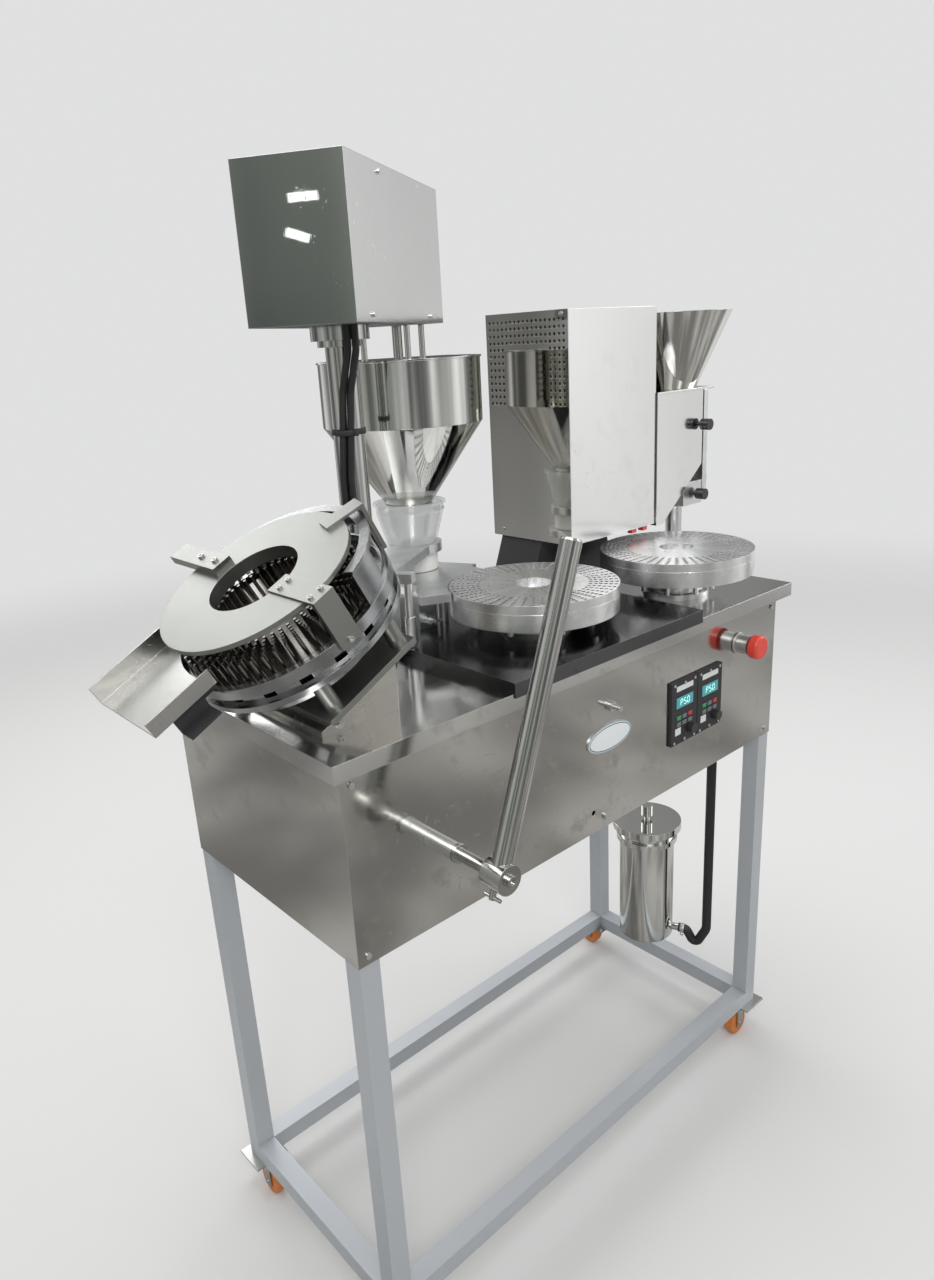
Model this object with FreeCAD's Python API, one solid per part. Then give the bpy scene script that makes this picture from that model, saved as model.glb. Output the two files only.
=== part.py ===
"""Bench-top capsule filling machine: bench, two ring turntables, auger head, loader and peg press.

Bench frame while building: X right along the front, Y to the back, Z up, with zero at the
front left corner of the worktop's top face. Every piece is moved at the end so that the
origin is under the middle of the machine, on the floor.
"""
import FreeCAD
import Part
import math
import os

V = FreeCAD.Vector
UP = V(0, 0, 1)
RIGHT = V(1, 0, 0)
BACK = V(0, 1, 0)

# ---------------------------------------------------------------- driving sizes
# bench
top_len = 960.0
top_depth = 443.5
top_sheet = 2.0
lip_height = 22.5
apron_inset = 18.0
apron_sheet = 1.5
apron_bottom = -280.6
tube = 30.0
tube_wall = 2.0
rail_bottom = -872.6
floor_z = -935.0
# spill tray
tray_x0 = 278.0
tray_x1 = 690.0
tray_top = 14.5
tray_sheet = 1.5
tray_lip = 20.5
tray_gap = 0.5
# capsule rings and turntables
ring_radius = 127.5
ring_top = 80.0
ring_upper = 13.5
ring_lower = 25.5
ring_bore = 28.0
hole_radius = 3.2
hole_rows = 50
holes_per_row = 6
hole_first = 84.5
hole_pitch = 7.6
hub_radius = 47.0
plate_thick = 8.0
table_1 = (476.0, 152.0)
table_2 = (790.0, 121.0)
parking_width = 48.5
parking_block_gap = 23.0732
parking_block_angle = 129.6104
parking_post_gap = 17.9376
parking_post_angle = 121.5042
plate_radius_1 = 104.0
plate_radius_2 = 70.0
spindle_radius = 10.0
shaft_clear = 0.05
part_gap = 1.0
# auger head
column_xy = (237.9, 253.3)
column_radius = 21.0
column_wall = 3.0
head_angle = 32.8
auger_reach = 223.9
box_front = 113.0
box_len = 352.0
box_width = 138.5
box_bottom = 455.0
box_height = 181.5
box_sheet = 1.5
hopper_radius = 123.5
hopper_top = 405.0
hopper_skirt = 312.0
hopper_neck_z = 190.0
hopper_neck = 38.0
hopper_wall = 1.5
arm_bottom = 110.0
arm_thick = 14.0
arm_width = 76.0
nozzle_radius = 40.0
nozzle_gap = 1.0
auger_shaft = 7.5
# lever and peg press
press_centre = V(39.9, 194.1, 173.1)
press_tilt = 28.0
disc_radius = 127.5
disc_hole = 60.0
disc_thick = 6.0
drum_radius = 143.5
drum_band = 9.0
drum_shift = 10.0
drum_top = 57.0
drum_height = 15.0
slot_recess = 9.0
slot_count = 18
peg_radius = 2.3
peg_tip = 34.0
peg_plate_top = 62.0
peg_plate_thick = 8.0
peg_stroke = 18.0
post_radius = 10.5
base_top = 137.6
base_thick = 8.0
base_u0 = -67.6
base_u1 = 80.4
base_half = 129.0
rod_radius = 8.0
lever_x = 141.0
lever_z = -154.0
crank_reach = 30.0
lever_lean = 19.8
lever_length = 399.0
lever_rod = 13.0
boss_radius = 18.5
boss_y0 = -121.0
boss_len = 32.0
# capsule loader
house = (626.0, 209.0, 100.0)
house_size = (222.0, 181.0, 366.0)
house_sheet = 1.5
vent_radius = 2.6
vent_columns = 18
vent_rows = 13
vent_edge = 9.0
vent_top = 14.0
vent_pitch = 10.6
side_x1 = 985.0
side_top = 322.0
side_foot = 96.0
side_knee = 190.0
funnel_xy = (963.0, 270.0)
funnel_top = 456.0
funnel_radius = 112.0
funnel_mouth = 52.0
# vacuum tank
tank_xy = (849.0, 220.0)
tank_lid_z = -498.0
tank_bottom = -753.0
tank_radius = 53.5
tank_lid_radius = 67.0
hose_radius = 9.0
hose_xy = (897.0, 106.0)
# casters
wheel_radius = 25.0
wheel_width = 18.0
trail = 26.0

pieces = {}


# ---------------------------------------------------------------- shape helpers
def block(x0, y0, z0, x1, y1, z1):
    return Part.makeBox(x1 - x0, y1 - y0, z1 - z0, V(x0, y0, z0))


def rod(radius, length, start, direction=UP):
    return Part.makeCylinder(radius, length, V(*start), direction)


def washer(outer, inner, length, start, direction=UP):
    return rod(outer, length, start, direction).cut(rod(inner, length, start, direction))


def prism(points, direction):
    wire = Part.makePolygon([V(*p) for p in points] + [V(*points[0])])
    return Part.Face(wire).extrude(direction)


def turned(profile, x, y):
    """Solid of revolution about the vertical through x, y from (radius, height) points."""
    points = [V(r, 0, z) for r, z in profile]
    face = Part.Face(Part.makePolygon(points + [points[0]]))
    solid = face.revolve(V(0, 0, 0), UP, 360)
    solid.translate(V(x, y, 0))
    return solid


def turn_z(shape, degrees, about):
    result = shape.copy()
    result.rotate(V(about[0], about[1], 0), UP, degrees)
    return result


def group(shapes):
    solids = []
    for shape in shapes:
        solids.extend(shape.Solids)
    return Part.makeCompound(solids)


def cap_screw(radius, height, start, direction):
    """Socket head screw head, standing on start and pointing along direction."""
    head = rod(radius, height, start, direction)
    tip = V(*start) + direction * (height * 0.4)
    return head.cut(rod(radius * 0.5, height, tuple(tip), direction))


def on_press(shape):
    """Move a shape from press axes (u up the slope, v back, n out of the disc) to the bench."""
    result = shape.copy()
    result.rotate(V(0, 0, 0), BACK, -press_tilt)
    result.translate(press_centre)
    return result


def press_point(u, v, n):
    a = math.radians(press_tilt)
    return press_centre + V(u * math.cos(a) - n * math.sin(a), v, u * math.sin(a) + n * math.cos(a))


def on_head(shape):
    """Move a shape from head axes (s along the box from the column) to the bench."""
    result = shape.copy()
    result.rotate(V(0, 0, 0), UP, head_angle)
    result.translate(V(column_xy[0], column_xy[1], 0))
    return result


def bent_tube(points, radius, bend):
    """Round bar along straight runs joined by tangent arcs."""
    pts = [V(*p) for p in points]
    edges = []
    start = pts[0]
    for i in range(1, len(pts) - 1):
        back = (pts[i - 1] - pts[i]).normalize()
        ahead = (pts[i + 1] - pts[i]).normalize()
        half = back.getAngle(ahead) / 2.0
        shorter = min((pts[i - 1] - pts[i]).Length, (pts[i + 1] - pts[i]).Length)
        setback = min(bend / math.tan(half), 0.45 * shorter)
        arc_r = setback * math.tan(half)
        a = pts[i] + back * setback
        b = pts[i] + ahead * setback
        middle = (back + ahead).normalize()
        centre = pts[i] + middle * (arc_r / math.sin(half))
        edges.append(Part.LineSegment(start, a).toShape())
        edges.append(Part.Arc(a, centre - middle * arc_r, b).toShape())
        start = b
    edges.append(Part.LineSegment(start, pts[-1]).toShape())
    path = Part.Wire(edges)
    heading = (pts[1] - pts[0]).normalize()
    profile = Part.Wire(Part.makeCircle(radius, pts[0], heading))
    return path.makePipeShell([profile], True, True)


# ---------------------------------------------------------------- bench
def make_bench():
    x0 = apron_inset
    x1 = top_len - apron_inset
    y0 = apron_inset
    y1 = top_depth - apron_inset
    under = -top_sheet
    worktop = block(0, 0, -lip_height, top_len, top_depth, 0)
    worktop = worktop.cut(block(top_sheet, top_sheet, -lip_height, top_len - top_sheet,
                                top_depth - top_sheet, under))
    for centre in (table_1, table_2):
        worktop = worktop.cut(rod(spindle_radius + part_gap, 10, (centre[0], centre[1], -6)))
    worktop = worktop.cut(push_rod_space(rod_radius + 6))
    pieces["worktop"] = worktop
    inner_x0 = x0 + apron_sheet
    inner_x1 = x1 - apron_sheet
    inner_y0 = y0 + apron_sheet
    inner_y1 = y1 - apron_sheet
    front = block(x0, y0, apron_bottom, x1, inner_y0, under)
    front = front.cut(rod(11.0, 10, (lever_x, y0 - 4, lever_z), BACK))
    front = front.cut(rod(4.0, 10, (450, y0 - 4, -247), BACK))
    pieces["apron_front"] = front
    pieces["apron_back"] = block(x0, inner_y1, apron_bottom, x1, y1, under)
    pieces["apron_left"] = block(x0, inner_y0, apron_bottom, inner_x0, inner_y1, under)
    pieces["apron_right"] = block(inner_x1, inner_y0, apron_bottom, x1, inner_y1, under)
    pan = block(inner_x0, inner_y0, apron_bottom, inner_x1, inner_y1, apron_bottom + apron_sheet)
    legs_x = (inner_x0, inner_x1 - tube)
    legs_y = (inner_y0, inner_y1 - tube)
    for lx in legs_x:
        for ly in legs_y:
            pan = pan.cut(block(lx, ly, apron_bottom - 1, lx + tube, ly + tube, apron_bottom + 9))
    pan = pan.cut(rod(hose_radius + 0.5, 8, (hose_xy[0], hose_xy[1], apron_bottom - 3)))
    pieces["apron_floor"] = pan
    for name_x, lx in zip(("left", "right"), legs_x):
        for name_y, ly in zip(("front", "back"), legs_y):
            outer = block(lx, ly, rail_bottom, lx + tube, ly + tube, under)
            core = block(lx + tube_wall, ly + tube_wall, rail_bottom, lx + tube - tube_wall,
                         ly + tube - tube_wall, under)
            pieces["leg_%s_%s" % (name_y, name_x)] = outer.cut(core)
    w = tube_wall
    rails = {"bottom": rail_bottom, "top": under - tube}
    for level, z in rails.items():
        for name_y, ly in zip(("front", "back"), legs_y):
            outer = block(legs_x[0] + tube, ly, z, legs_x[1], ly + tube, z + tube)
            core = block(legs_x[0] + tube, ly + w, z + w, legs_x[1], ly + tube - w, z + tube - w)
            pieces["rail_%s_%s" % (level, name_y)] = outer.cut(core)
        for name_x, lx in zip(("left", "right"), legs_x):
            outer = block(lx, legs_y[0] + tube, z, lx + tube, legs_y[1], z + tube)
            core = block(lx + w, legs_y[0] + tube, z + w, lx + tube - w, legs_y[1], z + tube - w)
            pieces["rail_%s_%s" % (level, name_x)] = outer.cut(core)
    tray = block(tray_x0, -tray_gap - tray_sheet, tray_top - tray_lip, tray_x1, top_depth, tray_top)
    tray = tray.cut(block(tray_x0 + tray_sheet, -tray_gap, -lip_height, tray_x1 - tray_sheet,
                          top_depth - tray_sheet, tray_top - tray_sheet))
    tray = tray.cut(block(tray_x0 - 1, -tray_gap, -lip_height, tray_x1 + 1, top_depth + 1, 0))
    tray = tray.cut(rod(spindle_radius + part_gap, 30, (table_1[0], table_1[1], 0)))
    pieces["spill_tray"] = tray


def make_casters():
    x0 = apron_inset + apron_sheet + tube / 2
    x1 = top_len - x0
    y0 = apron_inset + apron_sheet + tube / 2
    y1 = top_depth - y0
    corners = {
        "front_left": (x0, y0, 0),
        "back_left": (x0, y1, -90),
        "front_right": (x1, y0, 180),
        "back_right": (x1, y1, 90),
    }
    plate_half = 29.0
    plate_t = 3.0
    bolt_at = 22.0
    fork_top = rail_bottom - plate_t - 3.0
    axle_z = floor_z + wheel_radius
    cheek = wheel_width / 2 + 1.5
    for name, (x, y, heading) in corners.items():
        plate = block(x - plate_half, y - plate_half, rail_bottom - plate_t,
                      x + plate_half, y + plate_half, rail_bottom)
        stem = rod(6.0, rail_bottom - plate_t - (fork_top - 8), (x, y, rail_bottom - plate_t), -UP)
        bolts = []
        sx = 1 if x < top_len / 2 else -1
        sy = 1 if y < top_depth / 2 else -1
        bolts.append(rod(4.5, 4, (x + sx * bolt_at, y + sy * bolt_at, rail_bottom)))
        pieces["caster_%s_plate" % name] = plate.fuse(stem).removeSplitter()
        pieces["caster_%s_bolt" % name] = group(bolts)
        crown = rod(20.0, 3.0, (x, y, fork_top - 3.0))
        crown = crown.fuse(block(x, y - cheek - 2, fork_top - 3, x + trail + 8, y + cheek + 2, fork_top))
        fork = crown.fuse(block(x + trail - 9, y - cheek - 2, axle_z - 8, x + trail + 9, y - cheek, fork_top))
        fork = fork.fuse(block(x + trail - 9, y + cheek, axle_z - 8, x + trail + 9, y + cheek + 2, fork_top))
        fork = fork.cut(rod(6.0 + shaft_clear, 30, (x, y, fork_top - 15)))
        axle = rod(3.0, 2 * cheek + 8, (x + trail, y - cheek - 4, axle_z), BACK)
        fork = fork.cut(rod(3.0, 2 * cheek + 8, (x + trail, y - cheek - 4, axle_z), BACK))
        wheel = rod(wheel_radius, wheel_width, (x + trail, y - wheel_width / 2, axle_z), BACK)
        wheel = wheel.makeFillet(2.5, wheel.Edges[0:1] + wheel.Edges[2:3])
        wheel = wheel.cut(rod(3.0 + shaft_clear, wheel_width + 2,
                              (x + trail, y - wheel_width / 2 - 1, axle_z), BACK))
        pieces["caster_%s_fork" % name] = turn_z(fork.removeSplitter(), heading, (x, y))
        pieces["caster_%s_axle" % name] = turn_z(axle, heading, (x, y))
        pieces["caster_%s_wheel" % name] = turn_z(wheel, heading, (x, y))


# ---------------------------------------------------------------- rings and turntables
def holed_disc(outer, inner, z0, height):
    """Annulus with the capsule holes, made as one extruded face."""
    wires = [Part.Wire(Part.makeCircle(outer, V(0, 0, z0)))]
    wires.append(Part.Wire(Part.makeCircle(inner, V(0, 0, z0))))
    for row in range(hole_rows):
        a = 2 * math.pi * row / hole_rows
        for k in range(holes_per_row):
            r = hole_first + hole_pitch * k
            wires.append(Part.Wire(Part.makeCircle(hole_radius, V(r * math.cos(a), r * math.sin(a), z0))))
    return Part.makeFace(wires, "Part::FaceMakerBullseye").extrude(V(0, 0, height))


def make_turntable(number, centre, seat_z, plate_radius, motor_top):
    x, y = centre
    prefix = "turntable_%d_" % number
    bottom = ring_top - ring_upper - ring_lower
    lower = holed_disc(ring_radius, ring_bore, bottom, ring_lower)
    upper = holed_disc(ring_radius, ring_bore, bottom + ring_lower, ring_upper)
    for name, shape in (("ring_%d_lower" % number, lower), ("ring_%d_upper" % number, upper)):
        shape.translate(V(x, y, 0))
        pieces[name] = shape
    plate_z = bottom - plate_thick
    pilot = ring_bore - 0.5
    plate = rod(plate_radius, plate_thick, (x, y, plate_z))
    plate = plate.fuse(rod(pilot, plate_thick + 20, (x, y, plate_z)))
    hub_z = seat_z + 9 + part_gap
    plate = plate.fuse(rod(hub_radius, plate_z - hub_z, (x, y, hub_z)))
    pieces[prefix + "plate"] = plate.removeSplitter()
    base = rod(hub_radius + 8, 9, (x, y, seat_z))
    base = base.cut(rod(spindle_radius + shaft_clear, 20, (x, y, seat_z - 2)))
    pieces[prefix + "bearing"] = base
    pieces[prefix + "spindle"] = rod(spindle_radius, hub_z - motor_top, (x, y, motor_top))
    heads = []
    for k in range(4):
        a = math.radians(45 + 90 * k)
        r = hub_radius + 4
        heads.append(rod(2.8, 3, (x + r * math.cos(a), y + r * math.sin(a), seat_z + 9)))
    pieces[prefix + "screws"] = group(heads)
    lugs = []
    for k in range(8):
        a = math.radians(22.5 + 45 * k)
        r = plate_radius - 9
        lugs.append(rod(4.5, plate_z - hub_z - 1, (x + r * math.cos(a), y + r * math.sin(a), hub_z + 1)))
    pieces[prefix + "lugs"] = group(lugs)


def make_gearmotors():
    flange_t = 8.0
    for number, (x, y) in ((1, table_1), (2, table_2)):
        z = -top_sheet
        flange = block(x - 45, y - 45, z - flange_t, x + 45, y + 45, z)
        gearbox = block(x - 40, y - 40, z - 75, x + 40, y + 40, z - flange_t)
        body = flange.fuse(gearbox)
        body = body.cut(rod(spindle_radius + shaft_clear, 60, (x, y, z - 50)))
        body = body.fuse(rod(36, 90, (x, y, z - 165)))
        pieces["turntable_%d_gearmotor" % number] = body.removeSplitter()


# ---------------------------------------------------------------- ring parking plate
def beside_ring(gap, angle):
    """A point this far outside the first ring, at an angle about its axis."""
    reach = ring_radius + gap
    turn = math.radians(angle)
    return table_1[0] + reach * math.cos(turn), table_1[1] + reach * math.sin(turn)


def make_parking():
    ax = column_xy[0] + auger_reach * math.cos(math.radians(head_angle))
    ay = column_xy[1] + auger_reach * math.sin(math.radians(head_angle))
    top = ring_top
    thick = 13.0
    x, y = table_1
    land = rod(52.0, thick, (ax, ay, top - thick))
    sector = rod(ring_radius + parking_width, thick, (x, y, top - thick))
    a0 = math.radians(84)
    a1 = math.radians(155)
    far = 400.0
    wedge = prism([(x, y, top - thick),
                   (x + far * math.cos(a0), y + far * math.sin(a0), top - thick),
                   (x - 150, y + 700, top - thick),
                   (x + far * math.cos(a1), y + far * math.sin(a1), top - thick)], V(0, 0, thick))
    sector = sector.common(wedge)
    neck = prism([(ax - 50, ay - 10, top - thick), (ax + 52, ay, top - thick),
                  (x + 30, y + 160, top - thick), (x - 130, y + 100, top - thick)], V(0, 0, thick))
    plate = sector.fuse(land).fuse(neck)
    plate = plate.cut(rod(ring_radius + 1.5, thick, (x, y, top - thick)))
    pieces["parking_plate"] = plate.removeSplitter()
    foot_top = top - thick
    bx, by = beside_ring(parking_block_gap, parking_block_angle)
    px, py = beside_ring(parking_post_gap, parking_post_angle)
    pieces["parking_block"] = block(bx - 34, by, tray_top, bx, by + 30, foot_top)
    pieces["parking_pillar"] = block(bx - 58, by + 16, tray_top, bx - 38, by + 42, foot_top)
    pieces["parking_post"] = rod(8.0, foot_top - tray_top, (px, py, tray_top))
    tee_z = tray_top + 14
    tee_half = 11.0
    tx = bx - 18
    screw = rod(4.0, 22, (tx, by - 22, tee_z), BACK)
    bar = rod(2.6, 2 * tee_half, (tx - tee_half, by - 18.7, tee_z + 0.2), RIGHT)
    pieces["parking_tee_screw"] = screw.fuse(bar).removeSplitter()
    boss = washer(7.5, 4.0 + shaft_clear, 12, (tx, by - 12, tee_z), BACK)
    pieces["parking_tee_boss"] = boss


# ---------------------------------------------------------------- auger head
def make_column():
    x, y = column_xy
    socket_top = 34.0
    flange = 39.0
    base = rod(flange, 12, (x, y, 0)).fuse(rod(28, socket_top, (x, y, 0)))
    base = base.cut(rod(column_radius + shaft_clear, socket_top, (x, y, 4)))
    pieces["column_socket"] = base.removeSplitter()
    heads = []
    for k in range(4):
        a = math.radians(45 + 90 * k)
        heads.append(cap_screw(3.5, 5.0, (x + 33.5 * math.cos(a), y + 33.5 * math.sin(a), 12), UP))
    pieces["column_socket_screws"] = group(heads)
    tube_z = 4.5
    column = washer(column_radius, column_radius - column_wall, box_bottom - tube_z, (x, y, tube_z))
    pieces["column"] = column
    pieces["column_collar"] = washer(38, column_radius, 18, (x, y, box_bottom - 18)).fuse(
        washer(30, column_radius, 8, (x, y, box_bottom - 26))).removeSplitter()


def make_head_box():
    s0 = -box_front
    s1 = s0 + box_len
    half = box_width / 2
    z0 = box_bottom
    z1 = box_bottom + box_height
    t = box_sheet
    outer = block(s0, -half, z0, s1, half, z1)
    inner = block(s0 + t, -half + t, z0 - 5, s1 - t, half - t, z1 - t)
    pieces["head_cover"] = on_head(outer.cut(inner))
    floor = block(s0 + t, -half + t, z0, s1 - t, half - t, z0 + 6)
    floor = floor.cut(rod(auger_shaft + shaft_clear, 20, (auger_reach, 0, z0 - 5)))
    pieces["head_floor"] = on_head(floor)
    motor = rod(48, 120, (0, 0, z0 + 6 + 12))
    motor = motor.fuse(block(-50, -50, z0 + 6, 50, 50, z0 + 18))
    pieces["auger_motor"] = on_head(motor.removeSplitter())
    gearbox = block(110, -45, z0 + 6, 205, 45, z0 + 80)
    pieces["auger_gearbox"] = on_head(gearbox)
    screws = []
    for s in (s0 + 55, s0 + 290):
        screws.append(rod(3.2, 2.6, (s, -half, z0 + 9), -BACK))
    screws.append(rod(3.2, 2.6, (s0 + 110, -half, z1 - 10), -BACK))
    pieces["head_cover_screws"] = on_head(group(screws))


def make_hopper():
    s = auger_reach
    w = hopper_wall
    neck_bottom = hopper_neck_z - 56
    outer = [(hopper_radius, hopper_top), (hopper_radius, hopper_skirt), (hopper_neck, hopper_neck_z),
             (hopper_neck - 12, neck_bottom)]
    inner = [(hopper_neck - 12 - w, neck_bottom), (hopper_neck - w, hopper_neck_z + 0.5),
             (hopper_radius - w, hopper_skirt + 0.5), (hopper_radius - w, hopper_top)]
    pieces["powder_hopper"] = on_head(turned(outer + inner, s, 0))
    lid_t = 2.5
    lid = rod(hopper_radius + 2, lid_t, (s, 0, hopper_top))
    lid = lid.fuse(block(s - 70, -44, hopper_top, s + hopper_radius + 20, 44, hopper_top + lid_t))
    lid = lid.cut(rod(auger_shaft + 0.5, 10, (s, 0, hopper_top - 2)))
    pieces["hopper_lid"] = on_head(lid.removeSplitter())
    top = hopper_top + lid_t
    rods = []
    for ds, dv in ((-55, -34), (-55, 34)):
        rods.append(rod(4.5, box_bottom - top, (s + ds, dv, top)))
    rods.append(rod(4.5, box_bottom - top, (s + 8, -44 + 8, top)))
    pieces["hopper_rods"] = on_head(group(rods))
    cup_z0 = arm_bottom + arm_thick
    cup_z1 = hopper_neck_z - 4
    wall = 4.0
    cup_low = nozzle_radius
    cup_high = 54.0
    profile = [(cup_low, cup_z0), (cup_high, cup_z1 - 12), (cup_high, cup_z1),
               (cup_high - wall, cup_z1), (cup_high - wall, cup_z1 - 12), (cup_low - wall, cup_z0)]
    pieces["outlet_cup"] = on_head(turned(profile, s, 0))
    rim = washer(cup_high + 4, cup_high - wall, 4, (s, 0, cup_z1))
    rim = rim.cut(rod(hopper_neck + 1, 10, (s, 0, cup_z1 - 2)))
    pieces["outlet_rim"] = on_head(rim)
    ring = washer(cup_high - wall, hopper_neck - 2, 3, (s, 0, cup_z1 - 10))
    cone_space = turned([(0, neck_bottom), (hopper_neck - 12, neck_bottom), (hopper_neck, hopper_neck_z),
                         (0, hopper_neck_z)], s, 0)
    pieces["outlet_support"] = on_head(ring.cut(cone_space))
    arm = block(-10, -arm_width / 2, arm_bottom, s, arm_width / 2, cup_z0)
    arm = arm.fuse(rod(nozzle_radius + 8, arm_thick, (s, 0, arm_bottom)))
    arm = arm.fuse(rod(38, arm_thick, (0, 0, arm_bottom)))
    arm = arm.cut(rod(column_radius + shaft_clear, 40, (0, 0, arm_bottom - 5)))
    arm = arm.cut(rod(19.0, 40, (s, 0, arm_bottom - 5)))
    pieces["head_arm"] = on_head(arm.removeSplitter())
    nozzle_z = ring_top + nozzle_gap
    nozzle = washer(nozzle_radius, 19.0, arm_bottom - nozzle_z, (s, 0, nozzle_z))
    pieces["nozzle"] = on_head(nozzle)
    leg_s, leg_v = 21.5, -59.0
    tab = block(leg_s - 9, leg_v - 9, arm_bottom, leg_s + 9, -arm_width / 2, cup_z0)
    pieces["head_leg_tab"] = on_head(tab)
    leg = rod(6.0, arm_bottom - 60, (leg_s, leg_v, 60))
    pieces["head_leg_rod"] = on_head(leg)
    sleeve_z = tray_top + 5.0
    pieces["head_leg_sleeve"] = on_head(rod(8.0, 60 - sleeve_z, (leg_s, leg_v, sleeve_z)))
    pieces["head_leg_foot"] = on_head(rod(5.0, 4.0, (leg_s, leg_v, sleeve_z - 4.0)))
    clamp = cap_screw(4.0, 6.0, (2, -arm_width / 2, arm_bottom + 7), -BACK)
    cup_screw = rod(2.6, 3.0, (s, 0.2 - cup_high, cup_z1 - 6), -BACK)
    cup_screw = cup_screw.cut(rod(cup_high, 30, (s, 0, cup_z1 - 20)))
    pieces["head_arm_screws"] = on_head(group([clamp, cup_screw]))


def make_auger():
    s = auger_reach
    tip = ring_top + 6.0
    shaft_top = box_bottom + 60
    shaft = rod(auger_shaft, shaft_top - tip, (s, 0, tip))
    pitch = 18.0
    flight_h = 90.0
    flight_r = 16.5
    helix = Part.makeHelix(pitch, flight_h, auger_shaft - 1)
    profile = Part.makePolygon([V(auger_shaft - 1, 0, -1.2), V(flight_r, 0, -1.2), V(flight_r, 0, 1.2),
                                V(auger_shaft - 1, 0, 1.2), V(auger_shaft - 1, 0, -1.2)])
    flight = Part.Wire(helix.Edges).makePipeShell([profile], True, True)
    flight.translate(V(s, 0, tip + 2))
    pieces["auger_screw"] = on_head(shaft.fuse(flight))
    pulley = rod(13.0, 16, (s, 0, shaft_top))
    pieces["auger_pulley"] = on_head(pulley)


def make_cables():
    """Two cables from the head floor down the column, tied once, entering the column lower down."""
    right = V(0.74, -0.67, 0)
    toward = V(-0.66, -0.75, 0)
    cable_r = 4.6
    apart = 5.2
    entry_z = 206.0
    axis = V(column_xy[0], column_xy[1], 0)
    column = pieces["column"]
    for name, shift in (("a", -apart), ("b", apart)):
        run = []
        for r, t, z in ((18, 41, box_bottom), (18, 41, box_bottom - 30), (5, 28, box_bottom - 82),
                        (-4, 28, entry_z + 60), (-4, 28, entry_z), (-4, column_radius - 3.5, entry_z)):
            p = axis + right * (r + shift) + toward * t
            run.append((p.x, p.y, z))
        cable = bent_tube(run, cable_r, 30.0)
        pieces["column_cable_" + name] = cable
        entry = rod(cable_r + 0.3, 20, run[-1], toward)
        column = column.cut(entry)
    pieces["column"] = column
    tie_z = 318.0
    centre = axis + toward * 10.0
    pieces["cable_tie"] = washer(33.0, 31.3, 9, (centre.x, centre.y, tie_z))


# ---------------------------------------------------------------- peg press
def push_rod_space(radius):
    """Bench-frame cylinder along the press axis, used to cut passages."""
    return on_press(rod(radius, 400, (0, 0, -400)))


def make_press_stand():
    t = 3.0
    x0, x1 = 37.0, 150.0
    y0, y1 = 73.0, 315.0
    under = base_top + base_thick
    a = math.radians(press_tilt)

    def slope(x, drop):
        n = -(under + drop)
        return press_centre.z + (n + math.sin(a) * (x - press_centre.x)) / math.cos(a)

    outer = prism([(x0, y0, 0), (x1, y0, 0), (x1, y0, slope(x1, 0)), (x0, y0, slope(x0, 0))],
                  V(0, y1 - y0, 0))
    ix0, ix1 = x0 + 14, x1 - t
    inner = prism([(ix0, y0 + t, -1), (ix1, y0 + t, -1), (ix1, y0 + t, slope(ix1, t)),
                   (ix0, y0 + t, slope(ix0, t))], V(0, y1 - y0 - 2 * t, 0))
    stand = outer.cut(inner).cut(push_rod_space(rod_radius + 4))
    pieces["press_stand"] = stand
    base = block(base_u0, -base_half, -under, base_u1, base_half, -base_top)
    base = base.cut(rod(rod_radius + 3, 30, (0, 0, -under - 10)))
    pieces["press_base_plate"] = on_press(base)
    pieces["press_stand_screw"] = cap_screw(4.0, 4.0, (x0 + 24, y0, 9), -BACK)


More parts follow.
